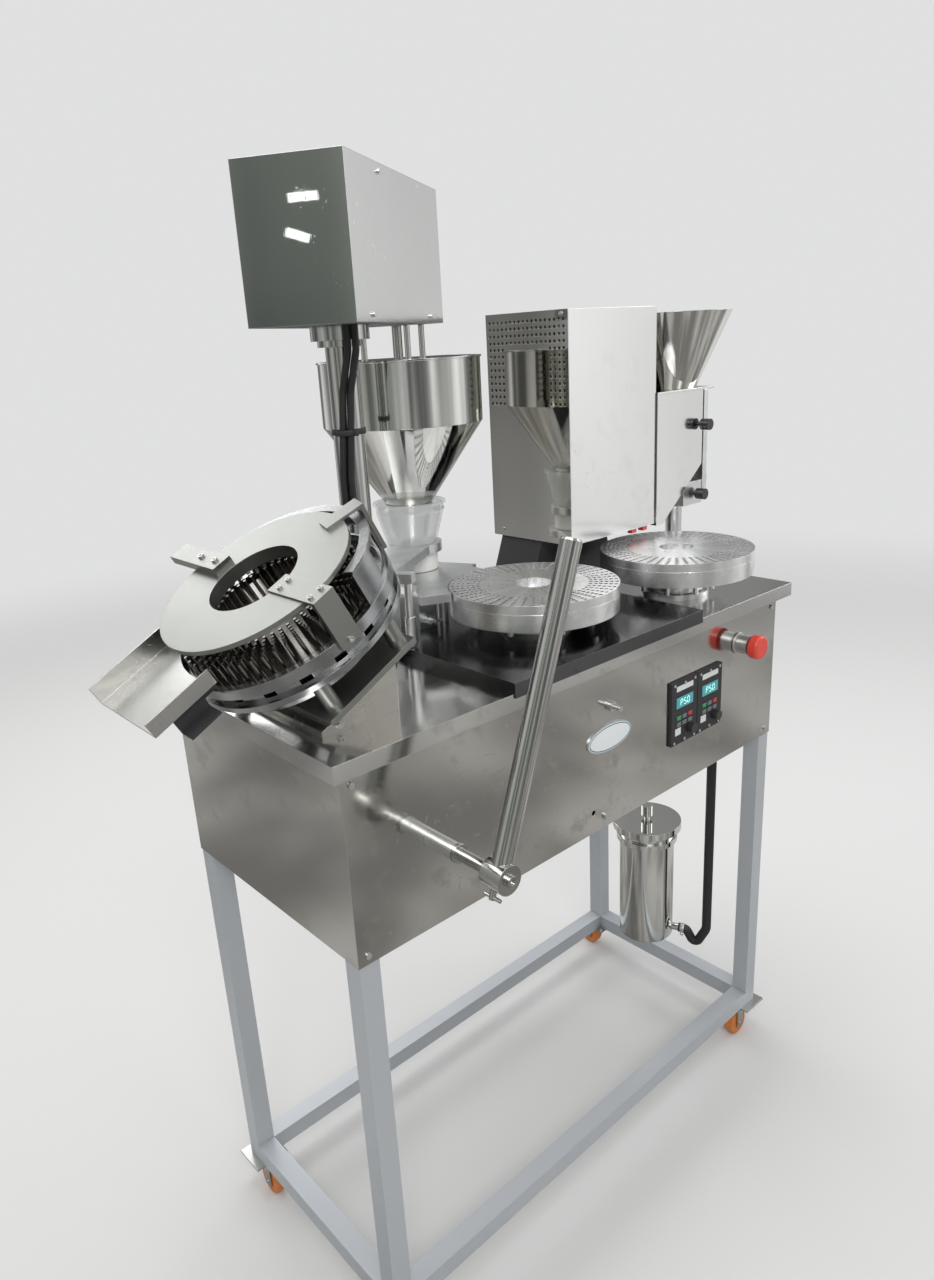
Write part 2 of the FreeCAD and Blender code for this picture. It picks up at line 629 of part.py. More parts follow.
def make_press_body():
    shift = drum_shift
    low = drum_top + drum_height
    spacer = 16.0
    floor_t = 8.0
    post_v = 111.0
    front_plate = block(-14, -149.5, -68, 16, -143.2, 2.5)
    turn = -15.0
    side_plate = block(drum_radius + shift - 0.6, -13, -64, drum_radius + shift + 5, 13, 4)
    side_plate.rotate(V(0, 0, 0), UP, turn)
    ring = washer(drum_radius, drum_radius - drum_band, drum_height, (shift, 0, -low))
    ring = ring.cut(front_plate).cut(side_plate)
    pieces["press_ring"] = on_press(ring)
    slots = washer(drum_radius - slot_recess, drum_radius - slot_recess - 8, spacer,
                   (shift, 0, -low - spacer))
    for k in range(slot_count):
        cutter = block(drum_radius - 30, -8, -low - spacer + 3, drum_radius + 2, 8, -low - 3)
        cutter.rotate(V(0, 0, 0), UP, 360.0 / slot_count * k)
        cutter.translate(V(shift, 0, 0))
        slots = slots.cut(cutter)
    pieces["press_slotted_ring"] = on_press(slots)
    shelf = rod(drum_radius - 2, floor_t, (shift, 0, -low - spacer - floor_t))
    shelf = shelf.cut(rod(rod_radius + shaft_clear, 40, (0, 0, -low - spacer - floor_t - 10)))
    pieces["press_shelf"] = on_press(shelf)
    cup_top = low + spacer + floor_t
    cup = washer(108, 103, 24, (0, 0, -cup_top - 24)).fuse(washer(108, rod_radius + 6, 3,
                                                                 (0, 0, -cup_top - 24)))
    pieces["press_cup"] = on_press(cup.removeSplitter())
    posts = []
    for u in (-47.0, 66.0):
        for v in (-post_v, post_v):
            posts.append(rod(post_radius, base_top - cup_top, (u, v, -base_top)))
    pieces["press_posts"] = on_press(group(posts))
    wall = washer(drum_radius - 3, drum_radius - 6, drum_top - 12, (shift, 0, -drum_top))
    keep = prism([(shift, 0, -drum_top), (shift + 60, -200, -drum_top), (shift + 300, -200, -drum_top),
                  (shift + 300, 200, -drum_top), (shift + 60, 200, -drum_top)], V(0, 0, drum_top))
    wall = wall.common(keep)
    for angle in (-38, 0, 38):
        cutter = block(100, -35, -drum_top + 5, 200, 35, -17)
        cutter.rotate(V(0, 0, 0), UP, angle)
        cutter.translate(V(shift, 0, 0))
        wall = wall.cut(cutter)
    flange = washer(drum_radius - 1, drum_radius - 14, 4, (shift, 0, -12)).common(
        prism([(shift, 0, -12), (shift + 60, -200, -12), (shift + 300, -200, -12),
               (shift + 300, 200, -12), (shift + 60, 200, -12)], V(0, 0, 12)))
    guard = wall.fuse(flange).cut(side_plate)
    pieces["press_guard"] = on_press(guard.removeSplitter())
    disc = washer(disc_radius, disc_hole, disc_thick, (0, 0, -disc_thick))
    disc = disc.fuse(washer(disc_hole + 3, disc_hole, 12, (0, 0, -disc_thick - 12)))
    pieces["press_disc"] = on_press(disc.removeSplitter())
    front_top = block(-14, -143.2, 0, 16, -54, 2.5)
    pieces["press_front_arm"] = on_press(front_plate.fuse(front_top).removeSplitter())
    side_top = block(104, -13, 0, drum_radius + shift - 0.6, 13, 4)
    side_top.rotate(V(0, 0, 0), UP, turn)
    pieces["press_side_arm"] = on_press(side_plate.fuse(side_top).removeSplitter())
    pieces["press_back_arm"] = on_press(block(-14, 68, 0, 14, 188, 11))
    heads = []
    for u, v, n in ((-7, -135, 2.5), (9, -135, 2.5), (-6, -70, 2.5), (8, -70, 2.5)):
        heads.append(cap_screw(3.2, 2.6, (u, v, n), UP))
    heads.append(cap_screw(3.6, 2.6, (1, -149.5, -62), -BACK))
    for v in (84, 120):
        heads.append(cap_screw(4.2, 3.0, (0, v, 11), UP))
    pieces["press_screws"] = on_press(group(heads))


def make_chute():
    u0, u1 = -212.0, -60.0
    v0, v1 = -43.0, 111.0
    floor_n = 45.0
    t = 2.0
    floor = block(u0, v0, -floor_n - t, u1, v1, -floor_n)
    floor = floor.fuse(block(u0, v1 - t, -floor_n, u1, v1, -20))
    floor = floor.fuse(block(u0, v0, -floor_n, u1, v0 + t, -26))
    floor = floor.cut(rod(disc_radius + 1.0, 80, (0, 0, -80)))
    pieces["capsule_chute"] = on_press(floor.removeSplitter())
    ring_face = -drum_top
    blocks = []
    for v, ua in ((-34.0, -176.0), (66.0, -150.0)):
        bar = block(ua, v, ring_face, ua + 62, v + 26, -floor_n - t)
        inner = rod(drum_radius - drum_band + 1.5, 60, (drum_shift, 0, -80))
        blocks.append(bar.cut(inner).cut(rod(disc_radius + 1.0, 80, (0, 0, -80))))
    pieces["chute_brackets"] = on_press(group(blocks))
    angle = block(-186, -37, ring_face - 14, -142, -34, -floor_n - t)
    angle = angle.fuse(block(-186, -60, ring_face - 14, -142, -37, ring_face - 11))
    pieces["chute_angle"] = on_press(angle.removeSplitter())


def make_pegs():
    plate = rod(disc_radius - 3.5, peg_plate_thick, (0, 0, -peg_plate_top - peg_plate_thick))
    plate = plate.cut(rod(50, 20, (0, 0, -peg_plate_top - 3)))
    pegs = []
    length = peg_plate_top - peg_tip + 2
    for row in range(hole_rows):
        a = 2 * math.pi * row / hole_rows
        for k in range(holes_per_row):
            r = hole_first + hole_pitch * k - 3.0
            pegs.append(rod(peg_radius, length, (r * math.cos(a), r * math.sin(a), -peg_plate_top - 2)))
    pieces["peg_plate"] = on_press(plate.multiFuse(pegs))
    yoke_n = yoke_height()
    rod_low = -yoke_n - 14
    rod_top = -peg_plate_top - peg_plate_thick
    pieces["push_rod"] = on_press(rod(rod_radius, rod_top - rod_low, (0, 0, rod_low)))


def shaft_in_press():
    """Lever shaft axis in press axes, as (u, n)."""
    a = math.radians(press_tilt)
    dx = lever_x - press_centre.x
    dz = lever_z - press_centre.z
    return dx * math.cos(a) + dz * math.sin(a), -dx * math.sin(a) + dz * math.cos(a)


def half_swing():
    return math.asin(peg_stroke / 2 / crank_reach)


def yoke_height():
    return -shaft_in_press()[1]


def make_yoke():
    u, n = shaft_in_press()
    rest = half_swing()
    pin_r = 5.0
    pin_u = u + crank_reach * math.cos(rest)
    pin_n = n - crank_reach * math.sin(rest)
    clear = 0.3
    yoke = block(u + crank_reach - 14, -6, pin_n - 16, -rod_radius, 6, pin_n + 16)
    yoke = yoke.fuse(rod(rod_radius + 6, 32, (0, 0, pin_n - 16)).common(
        block(-40, -12, pin_n - 30, 40, 12, pin_n + 30)))
    slot = block(u + crank_reach - 20, -10, pin_n - pin_r - clear, u + crank_reach + 8, 10,
                 pin_n + pin_r + clear)
    yoke = yoke.cut(slot)
    yoke = yoke.cut(rod(rod_radius, 400, (0, 0, pin_n - 200)))
    pieces["push_rod_yoke"] = on_press(yoke.removeSplitter())
    arm = rod(17.0, 10, (u, -18, n), BACK)
    arm = arm.fuse(rod(10.0, 10, (pin_u, -18, pin_n), BACK))
    direction = V(pin_u - u, 0, pin_n - n).normalize()
    side = V(direction.z, 0, -direction.x) * 9.0
    p0 = V(u, -18, n)
    p1 = V(pin_u, -18, pin_n)
    web = prism([tuple(p0 + side), tuple(p1 + side), tuple(p1 - side), tuple(p0 - side)], V(0, 10, 0))
    arm = arm.fuse(web)
    arm = arm.fuse(rod(pin_r, 26, (pin_u, -18, pin_n), BACK))
    arm = arm.cut(rod(rod_radius, 40, (u, -30, n), BACK))
    pieces["lever_crank"] = on_press(arm.removeSplitter())


def make_lever():
    shaft_end = press_centre.y - 18 + 12
    pieces["lever_shaft"] = rod(rod_radius, shaft_end - boss_y0 - 4, (lever_x, boss_y0 + 4, lever_z), BACK)
    sleeve = washer(11.0, rod_radius + shaft_clear, 76, (lever_x, -31, lever_z), BACK)
    pieces["lever_bearing"] = sleeve
    pieces["lever_collar"] = washer(12.5, rod_radius, 6, (lever_x, -38, lever_z), BACK)
    hanger = block(lever_x - 16, 120, lever_z - 16, lever_x + 16, 130, -top_sheet)
    hanger = hanger.cut(rod(rod_radius + shaft_clear, 20, (lever_x, 115, lever_z), BACK))
    pieces["lever_hanger"] = hanger
    boss = rod(boss_radius, boss_len, (lever_x, boss_y0, lever_z), BACK)
    boss = boss.cut(rod(rod_radius, boss_len, (lever_x, boss_y0 + 4, lever_z), BACK))
    a = math.radians(lever_lean)
    lean = V(math.sin(a), 0, math.cos(a))
    mid_y = boss_y0 + boss_len / 2
    handle = rod(lever_rod, lever_length - 10, (lever_x, mid_y, lever_z), lean)
    crown = Part.makeCone(lever_rod, lever_rod - 2.5, 2.5,
                          V(lever_x, mid_y, lever_z) + lean * (lever_length - 10), lean)
    handle = handle.fuse(crown).removeSplitter()
    handle = handle.cut(rod(boss_radius, boss_len, (lever_x, boss_y0, lever_z), BACK))
    half_space = block(lever_x - 60, mid_y - 40, lever_z - 90, lever_x + 60, mid_y + 40, lever_z - 5)
    handle = handle.cut(half_space)
    pieces["lever_boss"] = boss
    pieces["lever_handle"] = handle
    pieces["lever_cap_screw"] = cap_screw(7.5, 5.0, (lever_x, boss_y0, lever_z), -BACK)
    down = -lean
    start = V(lever_x, mid_y + 4, lever_z) + down * (boss_radius - 1.0)
    screw = rod(4.0, 13, tuple(start), down).cut(rod(boss_radius, boss_len, (lever_x, boss_y0, lever_z), BACK))
    tee = rod(2.5, 26, tuple(start + down * 10 - BACK * 13), BACK)
    pieces["lever_clamp_screw"] = screw.fuse(tee).removeSplitter()


# ---------------------------------------------------------------- capsule loader
def perforated(x, y0, y1, z0, z1, t):
    """Left wall of the loader housing with an inverted U of small holes."""
    points = [V(x, y0, z0), V(x, y1, z0), V(x, y1, z1), V(x, y0, z1)]
    wires = [Part.makePolygon(points + [points[0]])]
    pitch_y = (y1 - y0 - 2 * vent_edge) / (vent_columns - 1)
    for col in range(vent_columns):
        for row in range(vent_rows):
            if row > 3 and 3 < col < vent_columns - 4:
                continue
            c = V(x, y0 + vent_edge + pitch_y * col, z1 - vent_top - vent_pitch * row)
            wires.append(Part.Wire(Part.makeCircle(vent_radius, c, RIGHT)))
    return Part.makeFace(wires, "Part::FaceMakerBullseye").extrude(V(t, 0, 0))


def make_housing():
    x0, y0, z0 = house
    dx, dy, dz = house_size
    x1, y1, z1 = x0 + dx, y0 + dy, z0 + dz
    t = house_sheet
    pieces["loader_side_panel"] = perforated(x0, y0, y1, z0, z1, t)
    cover = block(x0 + t, y0, z0, x1, y1, z1)
    cover = cover.cut(block(x0, y0 + t, z0 - 1, x1 - t, y1 - t, z1 - t))
    pieces["loader_cover"] = cover
    base = block(x0 + t, y0 + t, z0, x1 - t, y1 - t, z0 + 8)
    pieces["loader_base_plate"] = base
    pedestal = prism([(x0 - 34, y0 + 70, 0), (x1 - 30, y0 + 70, 0), (x1 - 52, y0 + 70, z0),
                      (x0 + 4, y0 + 70, z0)], V(0, 95, 0))
    pieces["loader_pedestal"] = pedestal.cut(block(tray_x0, -5, -1, tray_x1 + part_gap, top_depth + 1,
                                                  tray_top))
    motor = rod(45, 150, (x0 + 75, y0 + 95, z0 + 8))
    pieces["loader_motor"] = motor
    pieces["loader_gearbox"] = block(x0 + 125, y0 + 40, z0 + 8, x1 - 20, y1 - 40, z0 + 110)
    screws = [rod(3.0, 2.2, (x0, y1 - 22, z0 + 12), -RIGHT), rod(3.0, 2.2, (x0, y0 + 14, z1 - 6), -RIGHT)]
    pieces["loader_panel_screws"] = group(screws)


def make_magazine():
    hx1 = house[0] + house_size[0]
    y_front = house[1] - 3.0
    y_back = 330.0
    outline = [(hx1 + 1.5, side_top), (side_x1, side_top), (side_x1, side_knee), (hx1 + 20, side_foot),
               (hx1 + 1.5, side_foot)]
    plate = prism([(x, y_front, z) for x, z in outline], V(0, 3.0, 0))
    pieces["loader_front_plate"] = plate
    w = 3.0
    body = prism([(x, y_front + 3, z) for x, z in outline], V(0, y_back - y_front - 3, 0))
    core = [(hx1 + 1.5 + w, side_top + 1), (side_x1 - w, side_top + 1), (side_x1 - w, side_knee + w),
            (hx1 + 20 + w, side_foot + 2 * w), (hx1 + 1.5 + w, side_foot + 2 * w)]
    body = body.cut(prism([(x, y_front + 3 + w, z) for x, z in core], V(0, y_back - y_front - 3 - 2 * w, 0)))
    pieces["loader_throat"] = body
    flange = block(hx1 + 1.5, y_front, side_top, funnel_xy[0] + funnel_mouth + 3, y_back + 4, side_top + 4)
    flange = flange.cut(rod(funnel_mouth - 2, 20, (funnel_xy[0], funnel_xy[1], side_top - 5)))
    pieces["loader_flange"] = flange
    z0 = side_top + 4
    t = 1.2
    profile = [(funnel_mouth, z0), (funnel_radius, funnel_top), (funnel_radius - t, funnel_top),
               (funnel_mouth - t, z0)]
    pieces["capsule_funnel"] = turned(profile, *funnel_xy)
    mag_x1 = side_x1 + 14
    magazine = block(side_x1 + 2, y_front - 1, 125, mag_x1, y_front + 90, side_top)
    pieces["capsule_magazine"] = magazine
    foot = block(930, y_front, 118, side_x1 + 2, y_front + 44, 160)
    clear = prism([(x, y_front - 5, z) for x, z in outline], V(0, 200, 0))
    pieces["magazine_foot"] = foot.cut(clear)
    pillar_xy = (940.0, y_front + 16)
    pieces["magazine_pillar"] = rod(14.5, 118, (pillar_xy[0] - 8, pillar_xy[1] + 6, 0))
    bracket = block(mag_x1, y_front + 6, 150, mag_x1 + 12, y_front + 30, 172)
    pieces["magazine_bracket"] = bracket
    pieces["magazine_bolt"] = rod(4.0, 14, (mag_x1 + 12, y_front + 18, 161), RIGHT)
    for number, (x, z) in ((1, (974.0, 262.0)), (2, (964.0, 138.0))):
        stem = rod(4.0, 8, (x, y_front - 8, z), BACK)
        knob = rod(10.0, 17, (x, y_front - 24, z), BACK)
        pieces["magazine_knob_%d" % number] = knob.fuse(stem).removeSplitter()
    pieces["loader_red_tabs"] = group([block(hx1 - 60, 212, 92, hx1 - 48, 222, house[2]),
                                      block(hx1 - 30, 212, 92, hx1 - 18, 222, house[2])])


# ---------------------------------------------------------------- front panel
def make_drive(number, x0):
    """Motor speed drive set in the front panel, with its keys and knob."""
    width, height, depth = 68.0, 107.0, 5.0
    z1 = -97.0
    z0 = z1 - height
    face = apron_inset - depth
    prefix = "drive_%d_" % number
    body = block(x0, face, z0, x0 + width, apron_inset, z1)
    mid = x0 + width / 2
    knob_at = (x0 + 46, z0 + 22)
    display = block(x0 + 12, face - 0.8, z0 + 62, x0 + width - 12, face, z0 + 80)
    pieces[prefix + "display"] = display
    body = body.cut(rod(3.0 + shaft_clear, depth - 1, (knob_at[0], face, knob_at[1]), BACK))
    knob = rod(8.0, 11, (knob_at[0], face - 12, knob_at[1]), BACK)
    knob = knob.fuse(rod(3.0, 5, (knob_at[0], face - 1.5, knob_at[1]), BACK))
    pieces[prefix + "knob"] = knob.removeSplitter()
    heads = []
    for z in (z0 + 5, z1 - 5):
        heads.append(rod(2.6, 1.6, (mid, face, z), -BACK))
    pieces[prefix + "screws"] = group(heads)
    pieces[prefix + "body"] = body


def make_panel():
    face = apron_inset
    for number, x0 in ((1, 634.0), (2, 704.0)):
        make_drive(number, x0)
    ex, ez = 825.0, -79.0
    collar = washer(16.0, 7.0 + shaft_clear, 24, (ex, face - 24, ez), BACK)
    pieces["estop_collar"] = collar
    stem = rod(7.0, 20, (ex, face - 32, ez), BACK)
    head = rod(20.0, 16, (ex, face - 46, ez), BACK)
    head = head.makeFillet(5.0, [e for e in head.Edges if abs(e.BoundBox.YMax - (face - 46)) < 0.01])
    pieces["estop_head"] = head.fuse(stem).removeSplitter()
    badge = Part.Ellipse(V(0, 0, 0), 50, 22).toShape()
    plate = Part.Face(Part.Wire(badge)).extrude(V(0, 0, 2))
    plate.rotate(V(0, 0, 0), RIGHT, 90)
    plate.translate(V(486, face, -135))
    pieces["badge_plate"] = plate
    stud = rod(4.0, 20, (489.5, face - 20, -87), BACK)
    nut = rod(7.5, 6, (489.5, face - 6, -87), BACK)
    pieces["panel_stud"] = stud.fuse(nut).removeSplitter()
    pieces["panel_button"] = rod(6.0, 4, (478, face - 4, -262), BACK)
    screws = []
    for x in (apron_inset + 15, top_len - apron_inset - 15):
        screws.append(rod(4.0, 2.5, (x, face, apron_bottom + 12), -BACK))
        screws.append(rod(4.0, 2.5, (x, face, -40), -BACK))
    pieces["apron_screws"] = group(screws)


# ---------------------------------------------------------------- tank
def make_tank():
    x, y = tank_xy
    height = tank_lid_z - 14 - tank_bottom
    body = rod(tank_radius, height, (x, y, tank_bottom))
    wall = 2.0
    body = body.cut(rod(tank_radius - wall, height - wall, (x, y, tank_bottom + wall)))
    pieces["tank_body"] = body
    band = washer(tank_radius + 6, tank_radius, 10, (x, y, tank_lid_z - 40))
    pieces["tank_clamp"] = band
    pieces["tank_lid"] = rod(tank_lid_radius, 14, (x, y, tank_lid_z - 14))
    pieces["tank_knob"] = rod(11, 22, (x, y, tank_lid_z + 8)).fuse(rod(5, 30, (x, y, tank_lid_z))).removeSplitter()
    leg_x = top_len - apron_inset - apron_sheet - tube
    leg_y = top_depth - apron_inset - apron_sheet - tube
    bar = prism([(x + 10, y + 30, tank_lid_z - 40), (x + 42, y + 30, tank_lid_z - 40),
                 (leg_x + 18, leg_y, tank_lid_z - 40), (leg_x, leg_y, tank_lid_z - 40)], V(0, 0, 10))
    bar = bar.cut(rod(tank_radius + 6, 30, (x, y, tank_lid_z - 50)))
    pieces["tank_bracket"] = bar
    hx, hy = hose_xy
    heading = V(hx - x, hy - y, 0).normalize()
    barb_z = tank_bottom + 16
    start = V(x, y, barb_z) + heading * tank_radius
    barb = rod(7.0, 14, tuple(start), heading)
    barb = barb.cut(rod(tank_radius, 60, (x, y, barb_z - 30)))
    pieces["tank_barb"] = barb
    h0 = start + heading * 14.3
    dip = barb_z - 34
    run = [tuple(h0), tuple(h0 + heading * 16), (h0.x + heading.x * 34, h0.y + heading.y * 34, dip),
           (hx, hy, barb_z + 10), (hx, hy, apron_bottom + 12)]
    pieces["tank_hose"] = bent_tube(run, hose_radius, 30.0)
    gland = washer(15.0, hose_radius + 0.3, 12, (hx, hy, apron_bottom - 12))
    pieces["hose_gland"] = gland


make_bench()
make_casters()
make_turntable(1, table_1, tray_top, plate_radius_1, -50.0)
make_turntable(2, table_2, 0.0, plate_radius_2, -50.0)
make_gearmotors()
make_parking()
make_column()
make_head_box()
make_hopper()
make_auger()
make_cables()
make_press_stand()
make_press_body()
make_chute()
make_pegs()
make_yoke()
make_lever()
make_housing()
make_magazine()
make_panel()
make_tank()

# pieces that share a body and a material share a node; the rest keep their own
joined = {
    "apron": ("apron_front", "apron_back", "apron_left", "apron_right", "apron_floor"),
    "bench_frame": ("leg_", "rail_"),
    "caster_plates": ("caster_front_left_plate", "caster_back_left_plate", "caster_front_right_plate",
                      "caster_back_right_plate", "caster_front_left_bolt", "caster_back_left_bolt",
                      "caster_front_right_bolt", "caster_back_right_bolt"),
    "caster_front_left_fork": ("caster_front_left_fork", "caster_front_left_axle"),
    "caster_back_left_fork": ("caster_back_left_fork", "caster_back_left_axle"),
    "caster_front_right_fork": ("caster_front_right_fork", "caster_front_right_axle"),
    "caster_back_right_fork": ("caster_back_right_fork", "caster_back_right_axle"),
    "bench_screws": ("turntable_1_screws", "turntable_2_screws", "column_socket_screws", "apron_screws",
                     "press_stand_screw", "loader_panel_screws", "drive_1_screws", "drive_2_screws",
                     "press_screws"),
    "bearings": ("turntable_1_bearing", "turntable_2_bearing", "column_socket", "lever_bearing",
                 "lever_hanger"),
    "drive_motors": ("turntable_1_gearmotor", "turntable_2_gearmotor", "loader_motor", "loader_gearbox",
                     "loader_base_plate"),
    "ring_1": ("ring_1_lower", "ring_1_upper"),
    "ring_2": ("ring_2_lower", "ring_2_upper"),
    "turntable_1_plate": ("turntable_1_plate", "turntable_1_spindle", "turntable_1_lugs"),
    "turntable_2_plate": ("turntable_2_plate", "turntable_2_spindle", "turntable_2_lugs"),
    "parking_shelf": ("parking_plate", "parking_block", "parking_pillar", "parking_post",
                      "parking_tee_boss"),
    "column": ("column", "column_collar"),
    "head_cover": ("head_cover", "head_cover_screws"),
    "auger_drive": ("head_floor", "auger_motor", "auger_gearbox"),
    "hopper_lid": ("hopper_lid", "hopper_rods"),
    "outlet_cup": ("outlet_cup", "outlet_rim"),
    "head_arm": ("head_arm", "head_leg_", "head_arm_screws", "outlet_support"),
    "auger_screw": ("auger_screw", "auger_pulley"),
    "column_cables": ("column_cable_a", "column_cable_b"),
    "press_base": ("press_base_plate", "press_posts"),
    "press_drum": ("press_ring", "press_slotted_ring", "press_shelf", "press_cup"),
    "press_arms": ("press_front_arm", "press_side_arm", "press_back_arm"),
    "chute_brackets": ("chute_brackets", "chute_angle"),
    "peg_plate": ("peg_plate", "push_rod", "push_rod_yoke"),
    "lever_shaft": ("lever_shaft", "lever_collar", "lever_crank"),
    "lever_handle": ("lever_handle", "lever_boss", "lever_cap_screw", "lever_clamp_screw"),
    "loader_cover": ("loader_cover", "loader_side_panel", "loader_red_tabs"),
    "loader_throat": ("loader_front_plate", "loader_throat", "loader_flange"),
    "capsule_magazine": ("capsule_magazine", "magazine_foot", "magazine_pillar", "magazine_bracket",
                         "magazine_bolt"),
    "drive_bodies": ("drive_1_body", "drive_2_body"),
    "drive_displays": ("drive_1_display", "drive_2_display"),
    "panel_fittings": ("estop_collar", "badge_plate", "panel_stud", "panel_button"),
    "tank_body": ("tank_body", "tank_barb", "tank_clamp", "tank_bracket"),
    "tank_lid": ("tank_lid", "tank_knob"),
    "tank_hose": ("tank_hose", "hose_gland"),
}


def node_shapes():
    """Each node's pieces as one group of separate solids."""
    home = {}
    for node, names in joined.items():
        for piece in pieces:
            for name in names:
                if piece == name or (name.endswith("_") and piece.startswith(name)):
                    home[piece] = node
    grouped = {}
    for piece, shape in pieces.items():
        grouped.setdefault(home.get(piece, piece), []).append(shape)
    return {node: group(shapes) for node, shapes in grouped.items()}


os.makedirs("parts", exist_ok=True)
nodes = node_shapes()
box = FreeCAD.BoundBox()
for shape in nodes.values():
    box.add(shape.optimalBoundingBox(False, False))
origin = V((box.XMin + box.XMax) / 2, (box.YMin + box.YMax) / 2, box.ZMin)
for name, shape in nodes.items():
    shape.translate(-origin)
    shape.exportStep("parts/%s.step" % name)
    print("%-26s solids %3d volume %12.1f valid %s" % (name, len(shape.Solids), shape.Volume,
                                                      shape.isValid()))
print("nodes", len(nodes), "origin", round(origin.x, 4), round(origin.y, 4), round(origin.z, 4))
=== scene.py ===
"""Finishes, fittings and studio for a bench-mounted capsule filler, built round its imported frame."""
import logging
import math
from dataclasses import dataclass, field
from enum import Enum
from typing import Callable, Sequence

import bpy
from mathutils import Matrix, Vector


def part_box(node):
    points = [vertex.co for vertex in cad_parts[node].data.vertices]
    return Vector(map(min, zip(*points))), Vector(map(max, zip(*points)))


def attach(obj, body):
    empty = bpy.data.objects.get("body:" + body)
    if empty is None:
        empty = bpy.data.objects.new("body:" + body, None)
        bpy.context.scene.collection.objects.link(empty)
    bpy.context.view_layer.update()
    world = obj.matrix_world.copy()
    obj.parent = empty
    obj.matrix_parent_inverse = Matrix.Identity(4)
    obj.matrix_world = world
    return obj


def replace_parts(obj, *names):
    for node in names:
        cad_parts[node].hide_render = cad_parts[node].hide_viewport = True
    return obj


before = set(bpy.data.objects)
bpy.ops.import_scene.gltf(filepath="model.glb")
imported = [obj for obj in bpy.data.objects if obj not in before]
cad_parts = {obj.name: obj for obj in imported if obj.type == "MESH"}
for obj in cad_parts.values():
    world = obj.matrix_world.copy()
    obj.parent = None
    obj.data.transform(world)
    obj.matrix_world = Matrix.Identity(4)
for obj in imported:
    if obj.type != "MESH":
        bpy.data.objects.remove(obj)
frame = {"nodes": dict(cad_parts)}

log = logging.getLogger("capsule_filler")
Triple = tuple[float, float, float]
MM = 0.001


# ------------------------------------------------------------------ places and named options
class Axis(Enum):
    """The three directions of the machine's own frame."""

    X = (1.0, 0.0, 0.0)
    Y = (0.0, 1.0, 0.0)
    Z = (0.0, 0.0, 1.0)

    @property
    def vector(self) -> Vector:
        """The direction as a vector."""
        return Vector(self.value)


@dataclass(frozen=True)
class Worktop:
    """The corner of the worktop that every fitting is measured from, in metres in the machine's frame."""

    corner: Triple

    def at(self, x: float, y: float, z: float) -> Vector:
        """Turn millimetres from the worktop's front left corner into a place in the machine's frame.

        Args:
            x: Millimetres to the right.
            y: Millimetres to the back.
            z: Millimetres above the steel.

        Returns:
            The place in metres.
        """
        return Vector(self.corner) + Vector((x, y, z)) * MM


def find_worktop() -> Worktop:
    """Read the worktop's corner from its CAD node."""
    low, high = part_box("worktop")
    return Worktop((low.x, low.y, high.z))


WORKTOP = find_worktop()
PRESS_TILT = math.radians(28.0)
PRESS_CENTRE = WORKTOP.at(39.9, 194.1, 173.1)
PRESS_NORMAL = Vector((-math.sin(PRESS_TILT), 0.0, math.cos(PRESS_TILT)))
HEAD_TURN = math.radians(32.8)
COLUMN_FOOT = WORKTOP.at(237.9, 253.3, 0.0)
FRONT = Vector((0.0, -1.0, 0.0))
UPRIGHT = Vector((0.0, 0.0, 1.0))
SQUARE_ON = 0.97
RED_TABS = ((785.0, 205.0, 88.0), (833.0, 225.0, 99.9))


# ------------------------------------------------------------------ shader maths
class Tone:
    """One output socket of a material's nodes, which ordinary arithmetic works on."""

    def __init__(self, recipe: "Recipe", socket: bpy.types.NodeSocket) -> None:
        """Wrap a socket of the recipe's material."""
        self.recipe = recipe
        self.socket = socket

    def _math(self, operation: str, first: "Tone | float", second: "Tone | float",
              clamp: bool = False) -> "Tone":
        """Add a Math node.

        Args:
            operation: The node's operation.
            first: The first value.
            second: The second value.
            clamp: Whether the result is held between 0 and 1.

        Returns:
            The node's result.
        """
        node = self.recipe.node("ShaderNodeMath", {"operation": operation, "use_clamp": clamp},
                                {0: first, 1: second})
        return Tone(self.recipe, node.outputs[0])

    def __add__(self, other: "Tone | float") -> "Tone":
        """self + other."""
        return self._math("ADD", self, other)

    __radd__ = __add__

    def __sub__(self, other: "Tone | float") -> "Tone":
        """self - other."""
        return self._math("SUBTRACT", self, other)

    def __rsub__(self, other: float) -> "Tone":
        """other - self."""
        return self._math("SUBTRACT", other, self)

    def __mul__(self, other: "Tone | float") -> "Tone":
        """self * other."""
        return self._math("MULTIPLY", self, other)

    __rmul__ = __mul__

    def __truediv__(self, other: "Tone | float") -> "Tone":
        """self / other."""
        return self._math("DIVIDE", self, other)

    def __pow__(self, other: float) -> "Tone":
        """self to a power."""
        return self._math("POWER", self, other)

    def sine(self) -> "Tone":
        """The sine of the value."""
        return self._math("SINE", self, 0.0)

    def held(self) -> "Tone":
        """The value held between 0 and 1."""
        return self._math("ADD", self, 0.0, clamp=True)

    def step(self, low: float, high: float) -> "Tone":
        """Rise smoothly from 0 at low to 1 at high.

        Args:
            low: Where the rise starts.
            high: Where it ends.

        Returns:
            The smooth step.
        """
        settings = {"interpolation_type": "SMOOTHSTEP", "clamp": True}
        node = self.recipe.node("ShaderNodeMapRange", settings,
                                {"Value": self, "From Min": low, "From Max": high})
        return Tone(self.recipe, node.outputs[0])


